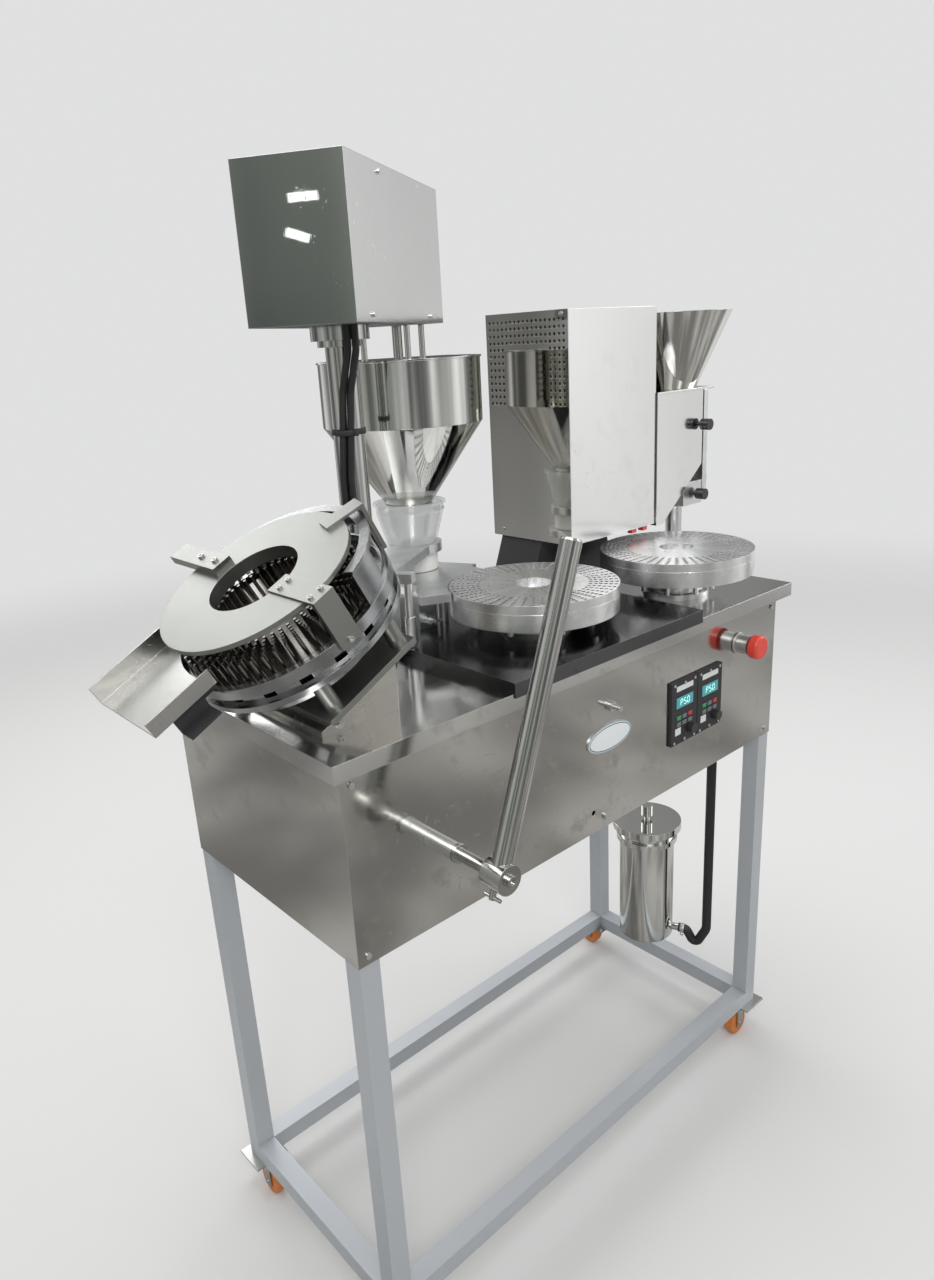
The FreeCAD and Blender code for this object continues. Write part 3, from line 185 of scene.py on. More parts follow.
class Recipe:
    """A material while its nodes are being laid."""

    def __init__(self, name: str) -> None:
        """Start a material with one principled surface."""
        self.material = bpy.data.materials.new(name)
        self.material.use_nodes = True
        self.tree = self.material.node_tree
        self.tree.nodes.clear()
        self.surface = self.node("ShaderNodeBsdfPrincipled", {}, {})
        output = self.node("ShaderNodeOutputMaterial", {}, {})
        self.tree.links.new(self.surface.outputs[0], output.inputs["Surface"])

    def node(self, kind: str, settings: dict, inputs: dict) -> bpy.types.Node:
        """Add a node.

        Args:
            kind: The node's type.
            settings: Its own settings, set before its sockets.
            inputs: Its sockets, by name or number, with values or links.

        Returns:
            The node.
        """
        made = self.tree.nodes.new(kind)
        for key, value in settings.items():
            setattr(made, key, value)
        for key, value in inputs.items():
            self.feed(made.inputs[key], value)
        return made

    def feed(self, socket: bpy.types.NodeSocket, value: "Tone | float | Sequence[float]") -> None:
        """Link or set one socket.

        Args:
            socket: The socket.
            value: A tone to link, or a plain value.
        """
        if isinstance(value, Tone):
            self.tree.links.new(value.socket, socket)
        elif isinstance(value, (tuple, list)) and len(value) == 3 and socket.type == "RGBA":
            socket.default_value = (*value, 1.0)
        else:
            socket.default_value = value

    def constant(self, **values: float) -> None:
        """Set numbers that are the same all over the surface, by socket name with _ for a space."""
        for key, value in values.items():
            self.feed(self.surface.inputs[key.replace("_", " ")], value)

    def position(self) -> Tone:
        """Object coordinates."""
        return Tone(self, self.node("ShaderNodeTexCoord", {}, {}).outputs["Object"])

    def mapped(self, scale: Triple, turn: Triple = (0.0, 0.0, 0.0)) -> Tone:
        """Object coordinates turned, then stretched.

        Args:
            scale: Repeats in a metre along each axis.
            turn: The turn about each axis in radians.

        Returns:
            The mapped coordinates.
        """
        turned = self.node("ShaderNodeMapping", {"vector_type": "POINT"},
                           {"Vector": self.position(), "Rotation": turn})
        made = self.node("ShaderNodeVectorMath", {"operation": "MULTIPLY"},
                         {0: Tone(self, turned.outputs[0]), 1: scale})
        return Tone(self, made.outputs[0])

    def noise(self, scale: float | Triple, detail: float = 3.0, rough: float = 0.55,
              turn: Triple = (0.0, 0.0, 0.0)) -> Tone:
        """Cloudy variation between 0 and 1.

        Args:
            scale: Repeats in a metre, one number or one for each axis.
            detail: How many finer layers it has.
            rough: How strong the finer layers are.
            turn: The turn about each axis in radians.

        Returns:
            The variation.
        """
        scale = (scale,) * 3 if isinstance(scale, float) else scale
        made = self.node("ShaderNodeTexNoise", {}, {"Vector": self.mapped(scale, turn), "Scale": 1.0,
                                                    "Detail": detail, "Roughness": rough})
        return Tone(self, made.outputs[0])

    def mix(self, factor: Tone, first: "Tone | Triple", second: "Tone | Triple") -> Tone:
        """Blend two colours.

        Args:
            factor: 0 for the first colour, 1 for the second.
            first: The first colour.
            second: The second colour.

        Returns:
            The blend.
        """
        made = self.node("ShaderNodeMix", {"data_type": "RGBA"}, {0: factor, 6: first, 7: second})
        return Tone(self, made.outputs[2])

    def vector(self, operation: str, first: "Tone | Triple", second: "Tone | Triple") -> Tone:
        """A Vector Math node, whose result is a number for a dot product or a length.

        Args:
            operation: The node's operation.
            first: The first vector.
            second: The second vector.

        Returns:
            The result.
        """
        made = self.node("ShaderNodeVectorMath", {"operation": operation}, {0: first, 1: second})
        number = operation in ("DOT_PRODUCT", "LENGTH")
        return Tone(self, made.outputs[1 if number else 0])

    def edge_normal(self, radius: float) -> Tone:
        """A normal that rounds over every edge within the radius, in metres.

        Args:
            radius: How far the rounding reaches.

        Returns:
            The normal.
        """
        return Tone(self, self.node("ShaderNodeBevel", {"samples": 6}, {"Radius": radius}).outputs[0])

    def edge_mask(self, normal: Tone) -> Tone:
        """0 on open faces, rising to 1 on the very edges.

        Args:
            normal: The rounded normal.

        Returns:
            The mask.
        """
        flat = Tone(self, self.node("ShaderNodeNewGeometry", {}, {}).outputs["Normal"])
        return (1.0 - self.vector("DOT_PRODUCT", normal, flat)).step(0.004, 0.12)

    def relief(self, height: Tone, strength: float, distance: float, normal: Tone) -> None:
        """Lay fine relief over the surface.

        Args:
            height: The relief, in parts of the distance.
            strength: How much of it shows.
            distance: Its full height in metres.
            normal: The normal under it.
        """
        bump = self.node("ShaderNodeBump", {}, {"Height": height, "Strength": strength,
                                                "Distance": distance, "Normal": normal})
        self.feed(self.surface.inputs["Normal"], Tone(self, bump.outputs[0]))

    def colour(self, value: "Tone | Triple") -> None:
        """Feed the base colour."""
        self.feed(self.surface.inputs["Base Color"], value)

    def roughness(self, value: "Tone | float") -> None:
        """Feed the roughness."""
        self.feed(self.surface.inputs["Roughness"], value)

    def metallic(self, value: "Tone | float") -> None:
        """Feed the metallic share."""
        self.feed(self.surface.inputs["Metallic"], value)


# ------------------------------------------------------------------ finishes
def shaded(tone: Triple, factor: float) -> Triple:
    """A colour made darker or lighter.

    Args:
        tone: The colour.
        factor: Below 1 to darken it, above 1 to lighten it.

    Returns:
        The colour, held at full brightness.
    """
    return tuple(min(1.0, value * factor) for value in tone)


@dataclass(frozen=True)
class SheetSteel:
    """Stainless sheet with a mill grain, handling marks and fine scratches, and a painted highlight along
    its edges.
    """

    name: str
    tone: Triple = (0.60, 0.60, 0.585)
    gloss: float = 0.20
    grain: Axis = Axis.X
    grain_depth: float = 0.22
    marks: float = 0.5
    turn: Triple = (0.0, 0.0, 0.0)
    edge: float = 0.0009

    def make(self) -> bpy.types.Material:
        """Lay the nodes.

        Returns:
            The material.
        """
        r = Recipe(self.name)
        along, across = 5.0, 900.0
        scale = tuple(along if self.grain.value[k] else across for k in range(3))
        grain = r.noise(scale, 2.0, 0.7, self.turn)
        cloud = r.noise(5.0, 4.0, 0.6)
        smear = r.noise((26.0, 9.0, 17.0), 3.0, 0.65, (0.3, 0.5, 0.7))
        scratch = r.noise((14.0, 260.0, 190.0), 1.0, 0.5, (0.4, 0.9, 0.6)).step(0.70, 0.76)
        crossing = r.noise((230.0, 12.0, 170.0), 1.0, 0.5, (0.8, 0.2, 1.3)).step(0.71, 0.77)
        lines = (scratch + crossing) * cloud.step(0.42, 0.62)
        normal = r.edge_normal(self.edge)
        edge = r.edge_mask(normal)
        stain = smear.step(0.52, 0.72) * self.marks
        dull = r.mix(stain * 0.55, self.tone, tuple(v * f for v, f in zip(self.tone, (0.80, 0.79, 0.76))))
        # Painted highlight: the colour is lightened along every edge.
        painted_edge_highlight = r.mix(edge * 0.6, dull, shaded(self.tone, 1.3))
        r.colour(painted_edge_highlight)
        r.metallic(1.0)
        rough = self.gloss + grain * 0.07 + cloud * 0.05 + stain * 0.16 + lines * 0.12 - 0.06
        r.roughness(rough.held())
        height = grain * self.grain_depth + lines * (-0.5 * self.marks) + smear * 0.12
        r.relief(height, 0.16, 0.0006, normal)
        r.constant(IOR=2.0)
        return r.material


@dataclass(frozen=True)
class TurnedAlloy:
    """Aluminium or steel faced on a lathe, with fine rings about its own axis; its colour carries grime, a
    painted sheen in lighter and darker sweeps round the axis, painted shade in holes and a painted
    highlight along its edges.
    """

    name: str
    centre: Triple
    axis: Triple = (0.0, 0.0, 1.0)
    tone: Triple = (0.66, 0.67, 0.675)
    gloss: float = 0.30
    ring_pitch: float = 0.0011
    dirt: float = 0.35
    # How strongly the painted sheen shows: lighter and darker sweeps round the axis.
    sheen_streak: float = 0.2
    # How dark the painted shade in holes and recesses is.
    shade: float = 0.5

    def make(self) -> bpy.types.Material:
        """Lay the nodes.

        Returns:
            The material.
        """
        r = Recipe(self.name)
        away = r.vector("SUBTRACT", r.position(), self.centre)
        height = r.vector("DOT_PRODUCT", away, self.axis)
        reach = r.vector("DOT_PRODUCT", away, away)
        radius = (reach - height * height + 1e-9) ** 0.5
        wobble = r.noise(9.0, 2.0)
        rings = (radius * (2.0 * math.pi / self.ring_pitch) + wobble * 9.0).sine()
        fine = r.noise(240.0, 2.0)
        cloud = r.noise(16.0, 4.0, 0.62)
        normal = r.edge_normal(0.0007)
        edge = r.edge_mask(normal)
        grime = cloud.step(0.50, 0.75) * self.dirt
        # Painted sheen: lit and shaded copies of the tone in sweeps round the axis, standing in for the
        # turned metal's reflection.
        outward = r.vector("NORMALIZE", away, (0.0, 0.0, 0.0))
        sector = Tone(r, r.node("ShaderNodeTexNoise", {}, {"Vector": outward, "Scale": 3.4, "Detail": 4.0,
                                                           "Roughness": 0.62}).outputs[0])
        sheen_sweep = sector.step(0.40, 0.62) * self.sheen_streak
        painted_sheen = r.mix(sheen_sweep, shaded(self.tone, 1.35), shaded(self.tone, 0.62))
        # Painted shade: ambient occlusion darkens holes and recesses nearly to black.
        hidden = Tone(r, r.node("ShaderNodeAmbientOcclusion", {"samples": 4, "only_local": True},
                                {"Distance": 0.006}).outputs["AO"])
        pit_shade = (1.0 - hidden).step(0.45, 0.9) * self.shade
        # Real grime darkens the colour over the painted sheen.
        worn = r.mix(grime, painted_sheen, shaded(self.tone, 0.66))
        base = r.mix(pit_shade, worn, (0.012, 0.012, 0.012))
        # Painted highlight: the colour is lightened along every edge.
        r.colour(r.mix(edge * 0.55, base, shaded(self.tone, 1.35)))
        r.metallic(1.0)
        r.roughness((self.gloss + fine * 0.10 + grime * 0.25 - 0.04).held())
        r.relief(rings * 0.25 + fine * 0.5, 0.14, 0.0004, normal)
        return r.material


@dataclass(frozen=True)
class TubePaint:
    """Sprayed metallic paint on welded tube, rubbed through at the corners."""

    name: str
    tone: Triple = (0.20, 0.225, 0.245)
    under: Triple = (0.12, 0.11, 0.10)
    gloss: float = 0.36
    chips: float = 1.0

    def make(self) -> bpy.types.Material:
        """Lay the nodes.

        Returns:
            The material.
        """
        r = Recipe(self.name)
        peel = r.noise(330.0, 2.0)
        cloud = r.noise(6.0, 4.0)
        flake = r.noise(1500.0, 1.0)
        ragged = r.noise(70.0, 5.0, 0.7)
        normal = r.edge_normal(0.0016)
        edge = r.edge_mask(normal)
        worn = edge * ragged.step(0.56, 0.66) + ragged.step(0.76, 0.79) * cloud.step(0.5, 0.6)
        chip = worn.held() * self.chips
        shade = r.mix(cloud, shaded(self.tone, 0.92), shaded(self.tone, 1.08))
        glint = r.mix(flake.step(0.6, 0.8) * 0.35, shade, shaded(self.tone, 1.5))
        r.colour(r.mix(chip, glint, self.under))
        r.metallic(0.35 + chip * 0.4)
        r.roughness((self.gloss + cloud * 0.10 + chip * 0.25).held())
        r.relief(peel * 0.25 + ragged * 0.15 + chip * -0.9, 0.2, 0.0005, normal)
        r.constant(Coat_Roughness=0.2)
        return r.material


@dataclass(frozen=True)
class Moulded:
    """Moulded plastic or nylon with a faint spark texture, paler dust and a painted highlight along its
    edges.
    """

    name: str
    tone: Triple
    gloss: float = 0.42
    texture: float = 0.35
    dust: float = 0.3

    def make(self) -> bpy.types.Material:
        """Lay the nodes.

        Returns:
            The material.
        """
        r = Recipe(self.name)
        spark = r.noise(1400.0, 3.0, 0.7)
        cloud = r.noise(22.0, 4.0)
        normal = r.edge_normal(0.0008)
        edge = r.edge_mask(normal)
        pale = tuple(min(1.0, v * 1.25 + 0.02) for v in self.tone)
        dusty = r.mix(cloud.step(0.5, 0.8) * self.dust, self.tone, pale)
        # Painted highlight: the edges are lightened to the pale colour.
        r.colour(r.mix(edge * 0.4, dusty, pale))
        r.roughness((self.gloss + spark * 0.08 + cloud * 0.12 - 0.08).held())
        r.relief(spark * self.texture, 0.25, 0.0003, normal)
        return r.material


@dataclass(frozen=True)
class ClearCup:
    """Clear acrylic, faintly scuffed by powder."""

    name: str
    tone: Triple = (0.93, 0.95, 0.95)

    def make(self) -> bpy.types.Material:
        """Lay the nodes.

        Returns:
            The material.
        """
        r = Recipe(self.name)
        scuff = r.noise((60.0, 60.0, 14.0), 4.0, 0.65)
        r.colour(r.mix(scuff.step(0.5, 0.8) * 0.4, self.tone, (0.80, 0.83, 0.82)))
        r.roughness((0.03 + scuff.step(0.48, 0.8) * 0.25).held())
        r.constant(Transmission_Weight=0.92, IOR=1.49)
        r.relief(scuff, 0.05, 0.0005, r.edge_normal(0.0006))
        return r.material


@dataclass(frozen=True)
class LitPanel:
    """A back-lit display behind a tinted window."""

    name: str
    glow: Triple
    strength: float = 0.5
    tone: Triple = (0.02, 0.10, 0.11)

    def make(self) -> bpy.types.Material:
        """Lay the nodes.

        Returns:
            The material.
        """
        r = Recipe(self.name)
        cloud = r.noise(90.0, 2.0)
        r.colour(r.mix(cloud, self.tone, shaded(self.tone, 1.4)))
        r.feed(r.surface.inputs["Emission Color"], r.mix(cloud, shaded(self.glow, 0.8), self.glow))
        r.constant(Emission_Strength=self.strength)
        r.roughness((0.12 + cloud * 0.1).held())
        r.relief(cloud, 0.05, 0.0002, r.edge_normal(0.0004))
        return r.material


HEAD_GRAIN = (0.0, 0.0, -HEAD_TURN)
PRESS_AXIS = tuple(PRESS_NORMAL)
# The rings' look, with its painted sheen and painted shade in holes.
RING_LOOK = {"tone": (0.79, 0.80, 0.80), "gloss": 0.28, "dirt": 0.06, "sheen_streak": 0.28, "shade": 0.92}


class Finish(Enum):
    """Every finish on the machine."""

    TOP_SHEET = SheetSteel("worktop_sheet", (0.62, 0.615, 0.60), 0.12, Axis.X, 0.20, 0.8)
    APRON_SHEET = SheetSteel("apron_sheet", (0.54, 0.53, 0.51), 0.11, Axis.X, 0.24, 0.8)
    HEAD_SHEET = SheetSteel("head_sheet", (0.60, 0.63, 0.605), 0.012, Axis.Z, 0.025, 0.12, HEAD_GRAIN)
    HEAD_SATIN = SheetSteel("head_satin", (0.80, 0.81, 0.80), 0.17, Axis.Z, 0.10, 0.2, HEAD_GRAIN)
    LOADER_SHEET = SheetSteel("loader_sheet", (0.68, 0.67, 0.625), 0.035, Axis.Z, 0.06, 0.25, edge=0.0004)
    LOADER_SATIN = SheetSteel("loader_satin", (0.75, 0.755, 0.745), 0.15, Axis.Z, 0.08, 0.2)
    SPUN_STEEL = SheetSteel("spun_steel", (0.66, 0.66, 0.635), 0.07, Axis.Z, 0.08, 0.25)
    CHUTE_SHEET = SheetSteel("chute_sheet", (0.58, 0.58, 0.56), 0.24, Axis.Y, 0.30, 0.6)
    STAND_SHEET = SheetSteel("stand_sheet", (0.66, 0.64, 0.59), 0.22, Axis.X, 0.25, 0.6)
    TRAY_SHEET = SheetSteel("tray_sheet", (0.13, 0.13, 0.135), 0.14, Axis.X, 0.15, 0.7)
    BAR_STEEL = SheetSteel("bar_steel", (0.50, 0.50, 0.48), 0.12, Axis.Z, 0.16, 0.5)
    PLATED = SheetSteel("plated_steel", (0.50, 0.50, 0.49), 0.30, Axis.X, 0.12, 0.9)
    SCREW = SheetSteel("screw_steel", (0.52, 0.52, 0.51), 0.26, Axis.X, 0.08, 0.4)
    RING_ONE = TurnedAlloy("ring_one_alloy", tuple(WORKTOP.at(476.0, 152.0, 80.0)), **RING_LOOK)
    RING_TWO = TurnedAlloy("ring_two_alloy", tuple(WORKTOP.at(790.0, 121.0, 80.0)), **RING_LOOK)
    PRESS_ALLOY = TurnedAlloy("press_alloy", tuple(PRESS_CENTRE), PRESS_AXIS,
                              (0.25, 0.255, 0.24), 0.36, 0.0011, 0.05, 0.0)
    DRUM_ALLOY = TurnedAlloy("drum_alloy", tuple(PRESS_CENTRE), PRESS_AXIS,
                             (0.30, 0.305, 0.31), 0.20, 0.0016, 0.6)
    PEG_STEEL = TurnedAlloy("peg_steel", tuple(PRESS_CENTRE), PRESS_AXIS,
                            (0.20, 0.19, 0.175), 0.22, 0.0016, 0.6)
    PLAIN_ALLOY = TurnedAlloy("plain_alloy", tuple(COLUMN_FOOT), (0.0, 0.0, 1.0),
                              (0.62, 0.63, 0.63), 0.32, 0.0014)
    FRAME_PAINT = TubePaint("frame_paint")
    BLACK_PAINT = TubePaint("black_paint", (0.035, 0.036, 0.038), (0.25, 0.25, 0.25), 0.34, 0.7)
    MOTOR_PAINT = TubePaint("motor_paint", (0.17, 0.18, 0.19), (0.30, 0.30, 0.30), 0.45, 0.6)
    BLACK_PLASTIC = Moulded("black_plastic", (0.022, 0.022, 0.024), 0.38)
    KNOB_PLASTIC = Moulded("knob_plastic", (0.030, 0.030, 0.032), 0.30, 0.15)
    RED_PLASTIC = Moulded("red_plastic", (0.62, 0.035, 0.025), 0.26, 0.10, 0.1)
    GREEN_KEY = Moulded("green_key", (0.03, 0.33, 0.12), 0.35, 0.2, 0.1)
    RED_KEY = Moulded("red_key", (0.55, 0.05, 0.04), 0.35, 0.2, 0.1)
    GREY_KEY = Moulded("grey_key", (0.18, 0.19, 0.20), 0.40, 0.2, 0.1)
    LABEL = Moulded("label_film", (0.70, 0.71, 0.70), 0.35, 0.1, 0.2)
    NYLON = Moulded("white_nylon", (0.80, 0.79, 0.75), 0.40, 0.3, 0.2)
    RUBBER = Moulded("hose_rubber", (0.018, 0.018, 0.019), 0.48, 0.6, 0.5)
    WHEEL = Moulded("wheel_tread", (0.62, 0.20, 0.04), 0.50, 0.6, 0.6)
    ENAMEL = Moulded("plate_enamel", (0.78, 0.81, 0.82), 0.18, 0.05, 0.1)
    ENAMEL_RIM = Moulded("plate_enamel_rim", (0.05, 0.26, 0.36), 0.18, 0.05, 0.1)
    ACRYLIC = ClearCup("clear_acrylic")
    DISPLAY = LitPanel("display_teal", (0.10, 0.65, 0.62), 0.35)
    DIGIT = LitPanel("display_digit", (0.55, 1.0, 0.95), 1.6, (0.10, 0.35, 0.33))

    def material(self) -> bpy.types.Material:
        """The finish's material, made the first time it is asked for."""
        found = bpy.data.materials.get(self.value.name)
        return found if found else self.value.make()


NODES_BY_FINISH: dict[Finish, str] = {
    Finish.TOP_SHEET: "worktop",
    Finish.APRON_SHEET: "apron",
    Finish.FRAME_PAINT: "bench_frame",
    Finish.TRAY_SHEET: "spill_tray",
    Finish.PLATED: "caster_plates",
    Finish.RING_ONE: "ring_1 turntable_1_plate",
    Finish.RING_TWO: "ring_2 turntable_2_plate",
    Finish.PLAIN_ALLOY: "bearings parking_shelf head_arm capsule_magazine",
    Finish.SCREW: "bench_screws parking_tee_screw panel_fittings",
    Finish.MOTOR_PAINT: "drive_motors auger_drive",
    Finish.BAR_STEEL: "column auger_screw lever_shaft lever_handle",
    Finish.HEAD_SHEET: "head_cover",
    Finish.SPUN_STEEL: "powder_hopper hopper_lid capsule_funnel tank_body tank_lid",
    Finish.ACRYLIC: "outlet_cup",
    Finish.NYLON: "nozzle",
    Finish.RUBBER: "column_cables tank_hose",
    Finish.BLACK_PLASTIC: "cable_tie drive_bodies",
    Finish.STAND_SHEET: "press_stand",
    Finish.PRESS_ALLOY: "press_base press_disc press_arms",
    Finish.DRUM_ALLOY: "press_drum press_guard",
    Finish.CHUTE_SHEET: "capsule_chute",
    Finish.BLACK_PAINT: "chute_brackets loader_pedestal",
    Finish.PEG_STEEL: "peg_plate",
    Finish.LOADER_SHEET: "loader_cover loader_throat",
    Finish.KNOB_PLASTIC: "magazine_knob_1 magazine_knob_2 drive_1_knob drive_2_knob",
    Finish.DISPLAY: "drive_displays",
    Finish.RED_PLASTIC: "estop_head",
}
CAD_FINISH = {node: finish for finish, nodes in NODES_BY_FINISH.items() for node in nodes.split()}
CAD_FINISH_BY_END: dict[str, Finish] = {"_fork": Finish.PLATED, "_wheel": Finish.WHEEL}


def dress_cad_nodes(nodes: dict[str, bpy.types.Object]) -> None:
    """Give every CAD node its finish.

    Args:
        nodes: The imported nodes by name.
    """
    for name, obj in sorted(nodes.items()):
        finish = CAD_FINISH.get(name)
        if finish is None:
            finish = next(f for end, f in CAD_FINISH_BY_END.items() if name.endswith(end))
        obj.data.materials.clear()
        obj.data.materials.append(finish.material())
        log.info("%s wears %s", name, finish.value.name)


# ------------------------------------------------------------------ modelling
Test = Callable[[bpy.types.MeshPolygon], bool]


def refinish(node: str, test: Test, finish: Finish) -> None:
    """Give some faces of a CAD node a finish of their own.

    Args:
        node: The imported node's name.
        test: Picks the faces, whose places are the world's.
        finish: What they wear.
    """
    mesh = frame["nodes"][node].data
    mesh.materials.append(finish.material())
    slot = len(mesh.materials) - 1
    for face in mesh.polygons:
        if test(face):
            face.material_index = slot


def in_bench_box(low: Triple, high: Triple) -> Test:
    """A test for faces whose centres lie in a box given in bench millimetres.

    Args:
        low: The lowest corner.
        high: The highest corner.

    Returns:
        The test.
    """
    small, large = WORKTOP.at(*low), WORKTOP.at(*high)
    return lambda face: all(small[k] <= face.center[k] <= large[k] for k in range(3))


def dress_special_faces() -> None:
    """Dress the satin faces of the head and the loader, and the loader's red tabs."""
    side = Vector((math.sin(HEAD_TURN), -math.cos(HEAD_TURN), 0.0))
    refinish("head_cover", facing(side, SQUARE_ON), Finish.HEAD_SATIN)
    refinish("head_cover", facing(UPRIGHT, SQUARE_ON), Finish.HEAD_SATIN)
    refinish("loader_cover", facing(FRONT, SQUARE_ON), Finish.LOADER_SATIN)
    refinish("loader_throat", facing(FRONT, SQUARE_ON), Finish.LOADER_SATIN)
    refinish("loader_cover", in_bench_box(*RED_TABS), Finish.RED_PLASTIC)


def facing(direction: Vector, least: float = 0.9) -> Test:
    """A test for faces that look along a direction.

    Args:
        direction: The way to look.
        least: The least cosine that passes.

    Returns:
        The test.
    """
    wanted = direction.normalized()
    return lambda face: face.normal.dot(wanted) > least


def every(face: bpy.types.MeshPolygon) -> bool:
    """A test that picks every face."""
    return True


@dataclass
class Workpiece:
    """One piece while it is being modelled with Blender's own operators."""

    obj: bpy.types.Object

    @classmethod
    def _claim(cls, name: str, direction: Vector) -> "Workpiece":
        """Name the primitive just added and turn its own Z to a direction."""
        obj = bpy.context.active_object
        obj.name = name
        obj.data.name = name
        turn = UPRIGHT.rotation_difference(direction.normalized())
        obj.rotation_euler = turn.to_euler()
        bpy.context.view_layer.update()
        piece = cls(obj)
        piece._apply_place()
        return piece

    @classmethod
    def cylinder(cls, name: str, centre: Vector, radius: float, depth: float, direction: Vector,
                 sides: int = 48) -> "Workpiece":
        """Start from a disc or rod.

        Args:
            name: The piece's name.
            centre: Its middle in metres.
            radius: In millimetres.
            depth: In millimetres.
            direction: The way that its axis points.
            sides: How many flats round it.

        Returns:
            The workpiece.
        """
        bpy.ops.object.select_all(action="DESELECT")
        bpy.ops.mesh.primitive_cylinder_add(vertices=sides, radius=radius * MM, depth=depth * MM,
                                            location=centre)
        return cls._claim(name, direction)

    @classmethod
    def torus(cls, name: str, centre: Vector, radius: float, tube: float, direction: Vector,
              around: int = 48, section: int = 12) -> "Workpiece":
        """Start from a ring of round section, sizes in millimetres.

        Args:
            name: The piece's name.
            centre: Its middle in metres.
            radius: From its axis to the middle of the section.
            tube: The radius of the section.
            direction: The way that its axis points.
            around: How many steps round it.
            section: How many steps round the section.

        Returns:
            The workpiece.
        """
        bpy.ops.object.select_all(action="DESELECT")
        bpy.ops.mesh.primitive_torus_add(major_segments=around, minor_segments=section,
                                         major_radius=radius * MM, minor_radius=tube * MM, location=centre)
        return cls._claim(name, direction)

    @classmethod
    def slab(cls, name: str, centre: Vector, size: Triple, turn: float = 0.0) -> "Workpiece":
        """Start from a slab.

        Args:
            name: The piece's name.
            centre: Its middle in metres.
            size: Its sizes in millimetres.
            turn: Its turn about the vertical in radians.

        Returns:
            The workpiece.
        """
        bpy.ops.object.select_all(action="DESELECT")
        bpy.ops.mesh.primitive_cube_add(size=1.0, location=centre)
        obj = bpy.context.active_object
        obj.name = name
        obj.data.name = name
        obj.scale = Vector(size) * MM
        obj.rotation_euler = (0.0, 0.0, turn)
        bpy.context.view_layer.update()
        piece = cls(obj)
        piece._apply_place()
        return piece

    def _apply_place(self) -> None:
        """Put the place, turn and size into the mesh."""
        self._only()
        bpy.ops.object.transform_apply(location=True, rotation=True, scale=True)

    def _only(self) -> None:
        """Select this piece alone."""
        bpy.ops.object.select_all(action="DESELECT")
        self.obj.select_set(True)
        bpy.context.view_layer.objects.active = self.obj

    def _edit(self, test: Test) -> None:
        """Open edit mode with the faces that pass the test selected."""
        self._only()
        mesh = self.obj.data
        bpy.context.tool_settings.mesh_select_mode = (False, False, True)
        bpy.ops.object.mode_set(mode="EDIT")
        bpy.ops.mesh.select_all(action="DESELECT")
        bpy.ops.object.mode_set(mode="OBJECT")
        for face in mesh.polygons:
            face.select = test(face)
        bpy.ops.object.mode_set(mode="EDIT")

    def _close(self) -> None:
        """Leave edit mode."""
        bpy.ops.object.mode_set(mode="OBJECT")

    def inset(self, test: Test, thickness: float, depth: float = 0.0) -> "Workpiece":
        """Inset faces, and sink or raise them.

        Args:
            test: Picks the faces.
            thickness: How far in, in millimetres.
            depth: How far out, in millimetres.

        Returns:
            The workpiece.
        """
        self._edit(test)
        bpy.ops.mesh.inset(thickness=thickness * MM, depth=depth * MM)
        self._close()
        return self

    def drop(self, test: Test) -> "Workpiece":
        """Delete the faces that pass the test.

        Args:
            test: Picks the faces.

        Returns:
            The workpiece.
        """
        self._edit(test)
        bpy.ops.mesh.delete(type="FACE")
        self._close()
        return self

    def thicken(self, thickness: float) -> "Workpiece":
        """Give an open shell a wall, outwards, in millimetres.

        Args:
            thickness: The wall's thickness.

        Returns:
            The workpiece.
        """
        self._only()
        modifier = self.obj.modifiers.new("wall", "SOLIDIFY")
        modifier.thickness = thickness * MM
        modifier.offset = 1.0
        bpy.ops.object.modifier_apply(modifier=modifier.name)
        return self

    def stretch(self, factors: Triple, about: Vector) -> "Workpiece":
        """Scale the whole piece about a place.

        Args:
            factors: The factor along each axis.
            about: The place in metres.

        Returns:
            The workpiece.
        """
        self._edit(every)
        bpy.ops.transform.resize(value=factors, center_override=about)
        self._close()
        return self

    def paint(self, test: Test, finish: Finish) -> "Workpiece":
        """Give some faces a second finish.

        Args:
            test: Picks the faces.
            finish: What they wear.

        Returns:
            The workpiece.
        """
        mesh = self.obj.data
        mesh.materials.append(finish.material())
        for face in mesh.polygons:
            if test(face):
                face.material_index = len(mesh.materials) - 1
        return self

    def round_over(self, width: float, segments: int = 2, angle: float = 30.0) -> "Workpiece":
        """Bevel the sharp edges.

        Args:
            width: In millimetres.
            segments: Steps across the bevel.
            angle: The least angle that is bevelled, in degrees.

        Returns:
            The workpiece.
        """
        self._only()
        modifier = self.obj.modifiers.new("edge", "BEVEL")
        modifier.width = width * MM
        modifier.segments = segments
        modifier.limit_method = "ANGLE"
        modifier.angle_limit = math.radians(angle)
        bpy.ops.object.modifier_apply(modifier=modifier.name)
        return self

    def copies(self, shifts: Sequence[Vector]) -> "Workpiece":
        """Repeat the piece at other places, each copy with its own mesh, and join them.

        Args:
            shifts: The moves in metres from the first one.

        Returns:
            The workpiece with its copies.
        """
        return self.copies_by([Matrix.Translation(shift) for shift in shifts])

    def copies_by(self, moves: Sequence[Matrix]) -> "Workpiece":
        """Repeat the piece by matrices in the machine's frame, and join them.

        Args:
            moves: One matrix for each copy.

        Returns:
            The workpiece with its copies.
        """
        made = []
        for move in moves:
            twin = self.obj.copy()
            twin.data = self.obj.data.copy()
            twin.data.transform(move)
            bpy.context.scene.collection.objects.link(twin)
            made.append(twin)
        self._only()
        for twin in made:
            twin.select_set(True)
        if made:
            bpy.ops.object.join()
        return self

